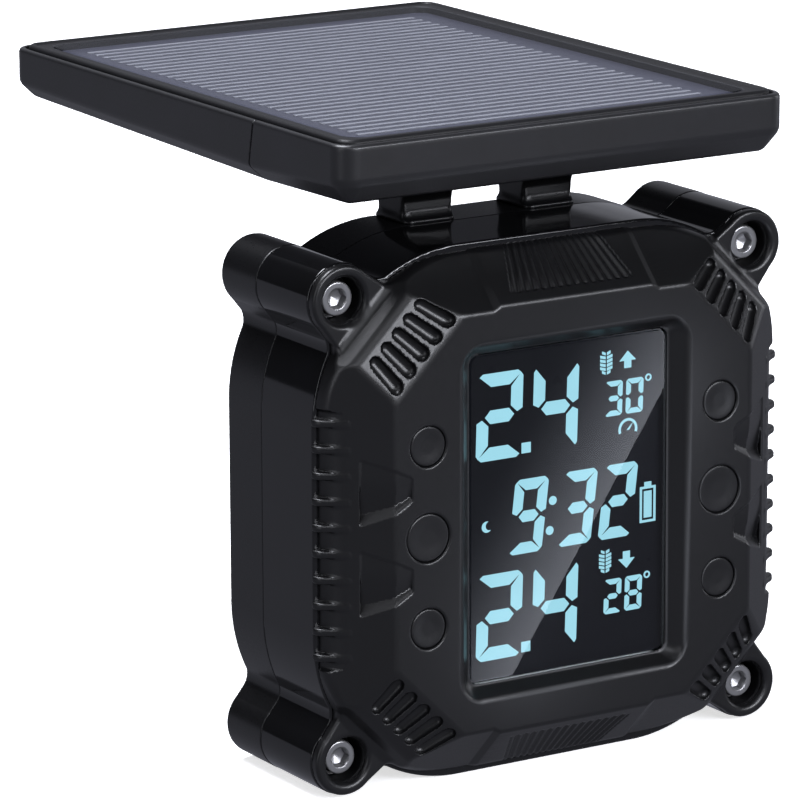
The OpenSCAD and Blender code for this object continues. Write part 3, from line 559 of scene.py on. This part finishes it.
def insert_field(x, y, z):
    """Knurled brass insert with a threaded hole, at the origin's X and Z."""
    body_r, knurl_h, groove_r, bore_r, pitch, thread_h, sink_r = 2.72, 0.12, 2.35, 1.65, 0.7, 0.22, 2.15
    rad, depth = np.hypot(x, z), REAR_Y - y
    angle = np.arctan2(z, x)
    band = ramp(depth, 0.9, 1.1)
    knurl = knurl_h * np.abs(np.sin(14 * angle)) * band * (1 - ramp(depth, 2.2, 2.4))
    body = rmax(rad - body_r + knurl, between(depth, 0.02, 5), 0.15)
    body = cut(body, np.maximum(np.abs(depth - 2.7) - 0.25, groove_r - rad))
    turn = (depth / pitch + angle / (2 * math.pi)) % 1.0
    thread = bore_r + thread_h * np.abs(turn * 2 - 1)
    thread = np.maximum(thread, sink_r - depth)
    return cut(body, rad - thread)


def flap_field(x, y, z):
    """Soft flap over the charging port, with a thumb notch and three grip lines."""
    low_z, hinge_x, half_y, thickness = -CASE_Z + 0.1, 7.2, 2.8, 1.4
    knuckle_r, pin_r, notch_r, line_r, line_half = 0.7, 0.4, 1.1, 0.22, 1.7
    dy = np.abs(y - PORT[1])
    from_pin = np.hypot(x - hinge_x, z + CASE_Z - 0.8)
    side = rmax(between(x, PORT_LOW[0], hinge_x + 0.3), dy - half_y, 0.5)
    plate = rmax(side, between(z, low_z, low_z + thickness), 0.25)
    knuckle = rmax(from_pin - knuckle_r, dy - half_y, 0.1)
    plug = rmax(rmax(np.abs(x) - 3.8, dy - 1, 0.9), between(z, low_z + 1, low_z + 2.8), 0.2)
    solid = np.minimum(rmin(plate, plug, 0.2), knuckle)
    notch = np.hypot(np.hypot(x - PORT_LOW[0], y - PORT[1]), z - low_z) - notch_r
    solid = cut(solid, notch, 0.1)
    for step in range(3):
        line = np.hypot(x - PORT_LOW[0] - 2.4 - step * 0.9, z - low_z) - line_r
        solid = cut(solid, np.maximum(line, dy - line_half), 0.06)
    return cut(solid, from_pin - pin_r)


# ---- Meshing ----

def grid_axes(low, high, step, fine):
    """Grid planes along each axis; fine holds (axis, from, to, step) bands with closer planes."""
    axes = []
    for k in range(3):
        bands = sorted(band[1:] for band in fine if band[0] == k)
        at, end, planes = low[k] - 0.863 * step, high[k] + step, []
        while at < end:
            planes.append(at)
            inside = [band for band in bands if band[0] - band[2] / 2 <= at < band[1]]
            ahead = [band[0] for band in bands if band[0] > at + 1e-6]
            stride = inside[0][2] if inside else step
            if not inside and ahead and at + stride > ahead[0]:
                stride = max(ahead[0] - at, 0.3 * step)
            at += stride
        axes.append(np.array(planes))
    return axes


def surface_net(values, axes):
    """Quad mesh of the zero surface: one point per crossed cell, one quad per crossed edge."""
    inside = values < 0
    size = np.array(values.shape) - 1
    count = np.zeros(size, np.uint8)
    for o in product((0, 1), repeat=3):
        count += inside[o[0]:o[0] + size[0], o[1]:o[1] + size[1], o[2]:o[2] + size[2]]
    cells = np.argwhere((count > 0) & (count < 8))
    index = np.full(size, -1, np.int32)
    index[tuple(cells.T)] = np.arange(len(cells))
    total, hits = np.zeros((len(cells), 3)), np.zeros(len(cells))
    for k in range(3):
        for pair in product((0, 1), repeat=2):
            start = np.insert(np.array(pair), k, 0)
            end = start + np.eye(3, dtype=int)[k]
            a, b = values[tuple((cells + start).T)], values[tuple((cells + end).T)]
            crossed = (a < 0) != (b < 0)
            t = a[crossed] / (a[crossed] - b[crossed])
            total[crossed] += start + t[:, None] * np.eye(3)[k]
            hits[crossed] += 1
    share = total / hits[:, None]
    points = np.empty_like(share)
    for k, axis in enumerate(axes):
        points[:, k] = axis[cells[:, k]] + share[:, k] * (axis[cells[:, k] + 1] - axis[cells[:, k]])
    return points, net_quads(inside, index, size)


def net_quads(inside, index, size):
    quads = []
    for k in range(3):
        i, j = (k + 1) % 3, (k + 2) % 3
        near = [slice(1, -1)] * 3
        far = [slice(1, -1)] * 3
        near[k], far[k] = slice(0, size[k]), slice(1, size[k] + 1)
        a, b = inside[tuple(near)], inside[tuple(far)]
        where = np.argwhere(a != b)
        where[:, i] += 1
        where[:, j] += 1
        ring = []
        for di, dj in ((-1, -1), (0, -1), (0, 0), (-1, 0)):
            cell = where.copy()
            cell[:, i] += di
            cell[:, j] += dj
            ring.append(index[tuple(cell.T)])
        ring = np.stack(ring, 1)
        leaves = inside[tuple(where.T)]
        ring[~leaves] = ring[~leaves][:, ::-1]
        quads.append(ring)
    return np.concatenate(quads)


def gradient(field, p, h=0.01):
    out = np.empty_like(p)
    for k in range(3):
        q = p.copy()
        q[:, k] += h
        ahead = field(*q.T)
        q[:, k] -= 2 * h
        out[:, k] = ahead - field(*q.T)
    return out / (2 * h)


def settle(field, points, step, passes=4):
    """Moves points onto the field's zero surface and returns them with their normals."""
    for _ in range(passes):
        slope = gradient(field, points)
        size = np.maximum((slope ** 2).sum(1), 0.05)
        move = slope * (field(*points.T) / size)[:, None]
        reach = np.linalg.norm(move, axis=1)
        move *= np.minimum(1, 0.5 * step / np.maximum(reach, 1e-9))[:, None]
        points = points - move
    normals = gradient(field, points, 0.02)
    return points, normals / np.maximum(np.linalg.norm(normals, axis=1), 1e-9)[:, None]


def thinned(mesh, ratio):
    """A copy of the mesh with that share of its faces left, as the collapse decimator makes it."""
    holder = bpy.data.objects.new("thinning", mesh)
    bpy.context.scene.collection.objects.link(holder)
    modifier = holder.modifiers.new("thin", "DECIMATE")
    modifier.ratio = ratio
    graph = bpy.context.evaluated_depsgraph_get()
    result = bpy.data.meshes.new_from_object(holder.evaluated_get(graph))
    bpy.data.objects.remove(holder)
    bpy.data.meshes.remove(mesh)
    return result


def mesh_points(mesh):
    flat = np.empty(len(mesh.vertices) * 3, np.float32)
    mesh.vertices.foreach_get("co", flat)
    return flat.reshape(-1, 3).astype(float)


def quad_mesh(name, points, quads):
    mesh = bpy.data.meshes.new(name)
    mesh.vertices.add(len(points))
    mesh.vertices.foreach_set("co", points.astype(np.float32).ravel())
    mesh.loops.add(quads.size)
    mesh.loops.foreach_set("vertex_index", quads.astype(np.int32).ravel())
    mesh.polygons.add(len(quads))
    mesh.polygons.foreach_set("loop_start", np.arange(0, quads.size, 4, dtype=np.int32))
    mesh.update(calc_edges=True)
    mesh.validate()
    return mesh


def field_mesh(name, field, low, high, step, ratio=0.5, fine=()):
    """Meshes a field inside a box, in millimetres, and returns the mesh, points and normals."""
    axes = grid_axes(low, high, step, fine)
    x, y, z = axes[0][:, None, None], axes[1][None, :, None], axes[2][None, None, :]
    shape = [len(axis) for axis in axes]
    values = np.broadcast_to(field(x, y, z), shape)
    points, quads = surface_net(values, axes)
    points, _ = settle(field, points, step, 2)
    mesh = quad_mesh(name, points, quads)
    if ratio < 1:
        mesh = thinned(mesh, ratio)
        mesh.name = name
    points, normals = settle(field, mesh_points(mesh), step, 2)
    return mesh, points, normals


def finish_piece(name, mesh, points, normals, material, body, *nodes):
    mesh.vertices.foreach_set("co", (points * MM).astype(np.float32).ravel())
    mesh.polygons.foreach_set("use_smooth", np.ones(len(mesh.polygons), bool))
    mesh.update()
    mesh.normals_split_custom_set_from_vertices(normals.astype(np.float32))
    mesh.materials.clear()
    mesh.materials.append(MATERIALS[material])
    piece = bpy.data.objects.new(name, mesh)
    bpy.context.scene.collection.objects.link(piece)
    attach(piece, body)
    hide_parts(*nodes)
    return piece


def build(name, field, low, high, step, material, body, *nodes, ratio=0.5, fine=()):
    mesh, points, normals = field_mesh(name, field, low, high, step, ratio, fine)
    return finish_piece(name, mesh, points, normals, material, body, *nodes)


def build_group(name, field, low, high, step, places, material, body, *nodes, ratio=0.5):
    """One piece made of the same solid at several (x, z) places."""
    mesh, points, normals = field_mesh(name, field, low, high, step, ratio)
    count, used = len(points), len(mesh.polygons)
    loops = np.empty(len(mesh.loops), np.int32)
    mesh.loops.foreach_get("vertex_index", loops)
    starts = np.empty(used, np.int32)
    mesh.polygons.foreach_get("loop_start", starts)
    group = bpy.data.meshes.new(name)
    group.vertices.add(count * len(places))
    group.loops.add(len(loops) * len(places))
    group.polygons.add(used * len(places))
    all_loops = np.concatenate([loops + count * i for i in range(len(places))])
    all_starts = np.concatenate([starts + len(loops) * i for i in range(len(places))])
    moved = [points + np.array([px, 0, pz]) for px, pz in places]
    group.vertices.foreach_set("co", np.concatenate(moved).astype(np.float32).ravel())
    group.loops.foreach_set("vertex_index", all_loops)
    group.polygons.foreach_set("loop_start", all_starts)
    group.update(calc_edges=True)
    bpy.data.meshes.remove(mesh)
    all_normals = np.concatenate([normals] * len(places))
    return finish_piece(name, group, np.concatenate(moved), all_normals, material, body, *nodes)


# ---- Materials ----

def node_tree(name):
    material = bpy.data.materials.new(name)
    material.use_nodes = True
    nodes = material.node_tree.nodes
    nodes.clear()
    return material, nodes, material.node_tree.links


def add_noise(nodes, links, scale, detail=4.0, stretch=(1, 1, 1)):
    """Noise in the object's own metres; scale is in features per millimetre."""
    place = nodes.new("ShaderNodeTexCoord")
    mapping = nodes.new("ShaderNodeMapping")
    mapping.inputs["Scale"].default_value = [s * scale / MM for s in stretch]
    links.new(place.outputs["Object"], mapping.inputs["Vector"])
    noise = nodes.new("ShaderNodeTexNoise")
    noise.inputs["Scale"].default_value = 1.0
    noise.inputs["Detail"].default_value = detail
    links.new(mapping.outputs["Vector"], noise.inputs["Vector"])
    return noise


def spread(nodes, links, source, low, high):
    """Maps the middle of a noise's values, 0.3 to 0.7, onto low to high."""
    ranged = nodes.new("ShaderNodeMapRange")
    ranged.inputs["From Min"].default_value = 0.3
    ranged.inputs["From Max"].default_value = 0.7
    ranged.inputs["To Min"].default_value = low
    ranged.inputs["To Max"].default_value = high
    links.new(source, ranged.inputs["Value"])
    return ranged.outputs["Result"]


def tint(nodes, links, source, dark, light):
    blend = nodes.new("ShaderNodeMix")
    blend.data_type = "RGBA"
    blend.inputs["A"].default_value = (*dark, 1)
    blend.inputs["B"].default_value = (*light, 1)
    links.new(source, blend.inputs["Factor"])
    return blend.outputs["Result"]


def surface(name, dark, light, rough, grain, bump, metallic=0.0, stretch=(1, 1, 1),
            specular=0.5):
    """Moulded, painted or machined surface: colour drift, roughness drift and fine grain."""
    material, nodes, links = node_tree(name)
    shader = nodes.new("ShaderNodeBsdfPrincipled")
    output = nodes.new("ShaderNodeOutputMaterial")
    links.new(shader.outputs["BSDF"], output.inputs["Surface"])
    drift = add_noise(nodes, links, 0.12, 3.0)
    fine = add_noise(nodes, links, grain, 5.0, stretch)
    links.new(tint(nodes, links, drift.outputs["Fac"], dark, light), shader.inputs["Base Color"])
    links.new(spread(nodes, links, fine.outputs["Fac"], rough * 0.9, rough * 1.12),
              shader.inputs["Roughness"])
    raise_by = nodes.new("ShaderNodeBump")
    raise_by.inputs["Strength"].default_value = 1.0
    raise_by.inputs["Distance"].default_value = bump * MM
    links.new(fine.outputs["Fac"], raise_by.inputs["Height"])
    links.new(raise_by.outputs["Normal"], shader.inputs["Normal"])
    shader.inputs["Metallic"].default_value = metallic
    shader.inputs["Specular IOR Level"].default_value = specular
    return material


def clear_sheet(name, colour, gloss, outward, sheen_share=1.0):
    """Clear cover: sees through, tinted a little, with a Fresnel sheen on its outer face."""
    material, nodes, links = node_tree(name)
    through = nodes.new("ShaderNodeBsdfTransparent")
    through.inputs["Color"].default_value = (*colour, 1)
    sheen = nodes.new("ShaderNodeBsdfGlossy")
    smear = add_noise(nodes, links, 0.05, 3.0)
    links.new(spread(nodes, links, smear.outputs["Fac"], gloss, gloss * 1.6), sheen.inputs["Roughness"])
    fresnel = nodes.new("ShaderNodeFresnel")
    fresnel.inputs["IOR"].default_value = 1.5
    side = nodes.new("ShaderNodeNewGeometry")
    facing = nodes.new("ShaderNodeVectorMath")
    facing.operation = "DOT_PRODUCT"
    facing.inputs[1].default_value = outward
    links.new(side.outputs["True Normal"], facing.inputs[0])
    outer = nodes.new("ShaderNodeMath")
    outer.operation = "GREATER_THAN"
    outer.inputs[1].default_value = 0.6
    links.new(facing.outputs["Value"], outer.inputs[0])
    front = nodes.new("ShaderNodeMath")
    front.operation = "SUBTRACT"
    front.use_clamp = True
    links.new(outer.outputs["Value"], front.inputs[0])
    links.new(side.outputs["Backfacing"], front.inputs[1])
    weak = nodes.new("ShaderNodeMath")
    weak.operation = "MULTIPLY"
    weak.inputs[1].default_value = sheen_share
    links.new(fresnel.outputs["Fac"], weak.inputs[0])
    share = nodes.new("ShaderNodeMath")
    share.operation = "MULTIPLY"
    links.new(weak.outputs["Value"], share.inputs[0])
    links.new(front.outputs["Value"], share.inputs[1])
    mix = nodes.new("ShaderNodeMixShader")
    output = nodes.new("ShaderNodeOutputMaterial")
    links.new(share.outputs["Value"], mix.inputs["Fac"])
    links.new(through.outputs["BSDF"], mix.inputs[1])
    links.new(sheen.outputs["BSDF"], mix.inputs[2])
    links.new(mix.outputs["Shader"], output.inputs["Surface"])
    return material


def lit_segments(name, colour, strength):
    """Backlit segments: even light with a faint unevenness."""
    material, nodes, links = node_tree(name)
    glow = nodes.new("ShaderNodeEmission")
    output = nodes.new("ShaderNodeOutputMaterial")
    drift = add_noise(nodes, links, 0.18, 2.0)
    dim = tuple(0.86 * c for c in colour)
    links.new(tint(nodes, links, drift.outputs["Fac"], dim, colour), glow.inputs["Color"])
    glow.inputs["Strength"].default_value = strength
    links.new(glow.outputs["Emission"], output.inputs["Surface"])
    return material


def grey(value, blue=1.0):
    return (value, value, value * blue)


MATERIALS = {
    "shell_black": surface("shell_black", grey(0.003), grey(0.0045, 1.2), 0.09, 0.7, 0.0005),
    "shell_satin": surface("shell_satin", grey(0.003), grey(0.0045, 1.2), 0.3, 3.0, 0.001),
    "bezel_black": surface("bezel_black", grey(0.003), grey(0.0045, 1.2), 0.35, 5.0, 0.003),
    "key_black": surface("key_black", grey(0.003), grey(0.0045, 1.2), 0.36, 5.0, 0.003),
    "tray_black": surface("tray_black", grey(0.009), grey(0.013, 1.2), 0.36, 4.5, 0.005),
    "rim_black": surface("rim_black", grey(0.006), grey(0.009, 1.2), 0.45, 4.5, 0.004,
                         specular=0.22),
    "leg_black": surface("leg_black", grey(0.003), grey(0.0045, 1.2), 0.32, 4.5, 0.003,
                         specular=0.3),
    "seal_rubber": surface("seal_rubber", grey(0.012), grey(0.02), 0.6, 3.0, 0.006),
    "lcd_dark": surface("lcd_dark", grey(0.004, 1.3), grey(0.0055, 1.3), 0.3, 0.4, 0.0004,
                        specular=0.1),
    "diffuser_white": surface("diffuser_white", grey(0.72), grey(0.8), 0.5, 2.0, 0.004),
    "frame_white": surface("frame_white", (0.66, 0.65, 0.6), (0.74, 0.73, 0.69), 0.5, 2.5, 0.006),
    "zebra_rubber": surface("zebra_rubber", (0.05, 0.03, 0.03), (0.55, 0.2, 0.14), 0.5, 1.6, 0.006,
                            stretch=(8, 0.05, 0.05)),
    "board_green": surface("board_green", (0.006, 0.07, 0.025), (0.015, 0.13, 0.05), 0.3, 0.9, 0.01),
    "switch_black": surface("switch_black", grey(0.012), grey(0.02), 0.45, 3.0, 0.006),
    "battery_foil": surface("battery_foil", grey(0.5, 1.03), grey(0.66, 1.04), 0.28, 0.5, 0.03,
                            metallic=0.9),
    "foam_white": surface("foam_white", grey(0.7, 0.93), grey(0.8, 0.95), 0.9, 2.2, 0.03),
    "steel": surface("steel", grey(0.28, 1.02), grey(0.36, 1.02), 0.3, 1.6, 0.003, metallic=0.75),
    "brass": surface("brass", (0.62, 0.43, 0.16), (0.76, 0.56, 0.25), 0.26, 2.0, 0.004,
                     metallic=1.0),
    "wire_red": surface("wire_red", (0.32, 0.02, 0.015), (0.42, 0.03, 0.02), 0.42, 1.2, 0.004),
    "cell_grey": surface("cell_grey", grey(0.036, 1.3), grey(0.05, 1.3), 0.35, 0.7, 0.001,
                         stretch=(1, 6, 1)),
    "finger_silver": surface("finger_silver", grey(0.22), grey(0.27), 0.5, 3.0, 0.004,
                             stretch=(0.3, 3, 1)),
    "window_clear": clear_sheet("window_clear", (0.9, 0.92, 0.94), 0.015, (0, -1, 0)),
    "panel_clear": clear_sheet("panel_clear", (0.93, 0.94, 0.97), 0.06, (0, 0, 1), 0.35),
    "lcd_lit": lit_segments("lcd_lit", (0.48, 0.93, 1.05), 1.0),
}


def paint_frame():
    for part in frame["record"]["subparts"]:
        mesh = frame["nodes"][part["node"]].data
        mesh.materials.clear()
        mesh.materials.append(MATERIALS[part["material_slot"]])


# ---- Pieces ----

def box_of(*nodes, pad=0.6):
    lows, highs = zip(*[node_box(node) for node in nodes])
    return np.min(lows, 0) - pad, np.max(highs, 0) + pad


def build_pieces():
    build("armour_bezel", bezel_field, *box_of("front_bezel"), 0.25, "bezel_black", "case",
          "front_bezel", ratio=0.4)
    ends = [(1, RIM_Y - 0.15, RIM_Y + 0.5, 0.12), (1, PART_Y - 0.5, PART_Y + 0.15, 0.12)]
    build("mid_shell", housing_field, *box_of("front_housing"), 0.4, "shell_black", "case",
          "front_housing", ratio=0.5, fine=ends)
    ends = [(1, PART_Y - 0.15, PART_Y + 0.5, 0.12), (1, REAR_Y - 1.1, REAR_Y + 0.1, 0.2)]
    build("rear_shell", rear_field, *box_of("rear_cover"), 0.4, "shell_satin", "case",
          "rear_cover", ratio=0.5, fine=ends)
    build("tray_legs", legs_field, *box_of("hinge_legs"), 0.22, "leg_black", "case",
          "hinge_legs")
    build("tray_body", tray_field, *box_of("panel_tray"), 0.42, "tray_black", "solar_tray",
          "panel_tray", ratio=0.5, fine=[(2, TRAY_TOP - 0.6, TRAY_TOP + 0.1, 0.18),
                                         (1, HINGE[1] - 1.4, HINGE[1] + 0.7, 0.11)])
    build("tray_rim", frame_field, *box_of("panel_frame"), 0.26, "rim_black", "solar_tray",
          "panel_frame", ratio=0.35)
    for node in KEY_NODES:
        build(node + "_cap", key_field(node), *box_of(node), 0.17, "key_black", node, node)
    build("port_flap", flap_field, *box_of("usb_cover"), 0.2, "seal_rubber", "usb_flap",
          "usb_cover")
    corners = list(product((-SCREW_X, SCREW_X), (-SCREW_Z, SCREW_Z)))
    low = np.array([-2.6, SCREW_TOP_Y - 0.3, -2.6])
    build_group("socket_screws", screw_field, low, np.array([2.6, SCREW_END_Y + 0.3, 2.6]), 0.13,
                corners, "steel", "case", "case_screws")
    holes = list(product((-MOUNT_X, MOUNT_X), (-MOUNT_Z, MOUNT_Z)))
    low = np.array([-3.0, REAR_Y - 5.3, -3.0])
    build_group("brass_inserts", insert_field, low, np.array([3.0, REAR_Y + 0.3, 3.0]), 0.14,
                holes, "brass", "case", "mount_inserts")


# ---- Stage, light and camera ----

def add_area(name, place, target, size, power, colour):
    light = bpy.data.lights.new(name, "AREA")
    light.shape = "RECTANGLE"
    light.size, light.size_y = size
    light.energy = power
    light.color = colour
    lamp = bpy.data.objects.new(name, light)
    lamp.location = place
    lamp.rotation_mode = "QUATERNION"
    lamp.rotation_quaternion = (Vector(target) - Vector(place)).to_track_quat("-Z", "Y")
    bpy.context.scene.collection.objects.link(lamp)


def floor_paper():
    """Pale paper to the camera; to reflections and bounced light it's a dim even sheet."""
    material, nodes, links = node_tree("floor_paper")
    shader = nodes.new("ShaderNodeBsdfPrincipled")
    paper = add_noise(nodes, links, 0.4, 4.0)
    pale = tint(nodes, links, paper.outputs["Fac"], grey(0.9), grey(0.92))
    links.new(pale, shader.inputs["Base Color"])
    links.new(pale, shader.inputs["Emission Color"])
    shader.inputs["Emission Strength"].default_value = 0.75
    shader.inputs["Roughness"].default_value = 0.9
    shader.inputs["Specular IOR Level"].default_value = 0.0
    sheet = nodes.new("ShaderNodeEmission")
    sheet.inputs["Color"].default_value = (0.93, 0.95, 1.12, 1)
    sheet.inputs["Strength"].default_value = 0.25
    seen = nodes.new("ShaderNodeLightPath")
    mix = nodes.new("ShaderNodeMixShader")
    output = nodes.new("ShaderNodeOutputMaterial")
    links.new(seen.outputs["Is Camera Ray"], mix.inputs["Fac"])
    links.new(sheet.outputs["Emission"], mix.inputs[1])
    links.new(shader.outputs["BSDF"], mix.inputs[2])
    links.new(mix.outputs["Shader"], output.inputs["Surface"])
    return material


def build_floor():
    low_z, half = cad_box[0].z, 6.0
    mesh = bpy.data.meshes.new("floor")
    corners = [(i * half, j * half, low_z) for i, j in ((-1, -1), (1, -1), (1, 1), (-1, 1))]
    mesh.from_pydata(corners, [], [(0, 1, 2, 3)])
    mesh.materials.append(floor_paper())
    floor = bpy.data.objects.new("floor", mesh)
    bpy.context.scene.collection.objects.link(floor)


def mirrored_point(x, z, stretch):
    """Where the sight line through a lens point lands after its reflection, in metres."""
    eye = eye_place() / MM
    mirrored = Vector((eye.x, 2 * LENS_Y - eye.y, eye.z))
    return (mirrored + (Vector((x, LENS_Y, z)) - mirrored) * stretch) * MM


def build_card():
    """Card whose reflection fills the lens above a slanted line and fades to the left."""
    low, high = (-8.6, -21.5), (14.9, 13.7)
    lean = (high[1] - low[1]) / (high[0] - low[0])
    side, tall, stretch = 15.9, 22.6, 1.05
    outline = [(side, high[1] + (side - high[0]) * lean), (low[0] - (tall + low[1]) / lean, -tall),
               (-side, -tall), (-side, tall), (side, tall)]
    mesh = bpy.data.meshes.new("reflection_card")
    mesh.from_pydata([mirrored_point(x, z, stretch) for x, z in outline], [], [range(5)])
    fade = mesh.attributes.new("fade", "FLOAT", "POINT")
    off = [((z - low[1]) - (x - low[0]) * lean) / math.hypot(1, lean) for x, z in outline]
    fade.data.foreach_set("value", off)
    material, nodes, links = node_tree("card_glow")
    distance = nodes.new("ShaderNodeAttribute")
    distance.attribute_name = "fade"
    share = nodes.new("ShaderNodeMapRange")
    share.inputs["From Max"].default_value = 18.0
    share.inputs["To Min"].default_value = 1.0
    share.inputs["To Max"].default_value = 0.0
    fall = nodes.new("ShaderNodeMath")
    fall.operation = "POWER"
    fall.inputs[1].default_value = 2.0
    gain = nodes.new("ShaderNodeMath")
    gain.operation = "MULTIPLY_ADD"
    gain.inputs[1].default_value = 3.4
    gain.inputs[2].default_value = 0.2
    glow = nodes.new("ShaderNodeEmission")
    glow.inputs["Color"].default_value = (0.93, 0.97, 1.1, 1)
    output = nodes.new("ShaderNodeOutputMaterial")
    links.new(distance.outputs["Fac"], share.inputs["Value"])
    links.new(share.outputs["Result"], fall.inputs[0])
    links.new(fall.outputs["Value"], gain.inputs[0])
    links.new(gain.outputs["Value"], glow.inputs["Strength"])
    links.new(glow.outputs["Emission"], output.inputs["Surface"])
    mesh.materials.append(material)
    card = bpy.data.objects.new("reflection_card", mesh)
    bpy.context.scene.collection.objects.link(card)
    card.visible_camera = False
    card.visible_diffuse = False
    card.visible_transmission = False
    card.visible_shadow = False


def build_world():
    """White backdrop for the camera; for reflections a dark room with a paler rear right."""
    world = bpy.data.worlds.new("studio")
    world.use_nodes = True
    nodes, links = world.node_tree.nodes, world.node_tree.links
    nodes.clear()
    seen = nodes.new("ShaderNodeLightPath")
    backdrop = nodes.new("ShaderNodeBackground")
    backdrop.inputs["Color"].default_value = (1, 1, 1, 1)
    look = nodes.new("ShaderNodeTexCoord")
    toward = nodes.new("ShaderNodeVectorMath")
    toward.operation = "DOT_PRODUCT"
    toward.inputs[1].default_value = Vector((0.62, 0.76, 0.2)).normalized()
    links.new(look.outputs["Generated"], toward.inputs[0])
    share = nodes.new("ShaderNodeMapRange")
    share.interpolation_type = "SMOOTHSTEP"
    share.inputs["From Min"].default_value = 0.6
    share.inputs["From Max"].default_value = 1.0
    share.inputs["To Min"].default_value = 0.02
    share.inputs["To Max"].default_value = 0.36
    links.new(toward.outputs["Value"], share.inputs["Value"])
    dim = nodes.new("ShaderNodeBackground")
    dim.inputs["Color"].default_value = (0.93, 0.95, 1.07, 1)
    links.new(share.outputs["Result"], dim.inputs["Strength"])
    mix = nodes.new("ShaderNodeMixShader")
    output = nodes.new("ShaderNodeOutputWorld")
    links.new(seen.outputs["Is Camera Ray"], mix.inputs["Fac"])
    links.new(dim.outputs["Background"], mix.inputs[1])
    links.new(backdrop.outputs["Background"], mix.inputs[2])
    links.new(mix.outputs["Shader"], output.inputs["Surface"])
    bpy.context.scene.world = world


def build_lights():
    """A low wide softbox ahead, one high up over the tray, and weak ones at the sides."""
    middle, cool = (0.0, 0.0, 0.0), (0.95, 0.97, 1.05)
    add_area("front_box", (0.2, -0.95, 0.36), middle, (0.8, 0.22), 10.5, cool)
    add_area("high_box", (-0.25, 0.25, 1.0), middle, (0.7, 0.4), 20.0, cool)
    add_area("left_box", (-0.9, -0.25, 0.3), middle, (0.2, 0.7), 1.5, cool)
    add_area("left_front_box", (-0.48, -0.66, 0.58), middle, (0.3, 0.12), 1.0, cool)
    add_area("right_box", (0.95, -0.1, 0.1), middle, (0.2, 0.6), 1.6, cool)


CAMERA_AZIMUTH = math.radians(31.969)
CAMERA_ELEVATION = math.radians(13.801)
CAMERA_ROLL = math.radians(-0.209)
CAMERA_DISTANCE = 0.697685
CAMERA_TARGET = Vector((-0.008135, 0.001507, 0.009426))
CAMERA_LENS = 234.5


def camera_ahead():
    flat = math.cos(CAMERA_ELEVATION)
    return Vector((math.sin(CAMERA_AZIMUTH) * flat, math.cos(CAMERA_AZIMUTH) * flat,
                   -math.sin(CAMERA_ELEVATION)))


def eye_place():
    return CAMERA_TARGET - camera_ahead() * CAMERA_DISTANCE


def build_camera():
    camera = bpy.data.cameras.new("camera")
    camera.lens = CAMERA_LENS
    camera.sensor_width = 36.0
    camera.clip_start, camera.clip_end = 0.05, 20.0
    eye = bpy.data.objects.new("camera", camera)
    eye.location = eye_place()
    eye.rotation_mode = "QUATERNION"
    level = camera_ahead().to_track_quat("-Z", "Y").to_matrix()
    eye.rotation_quaternion = (level @ Matrix.Rotation(CAMERA_ROLL, 3, "Z")).to_quaternion()
    bpy.context.scene.collection.objects.link(eye)
    bpy.context.scene.camera = eye


bpy.context.scene.view_settings.view_transform = "Standard"
paint_frame()
build_pieces()
build_floor()
build_card()
build_world()
build_lights()
build_camera()
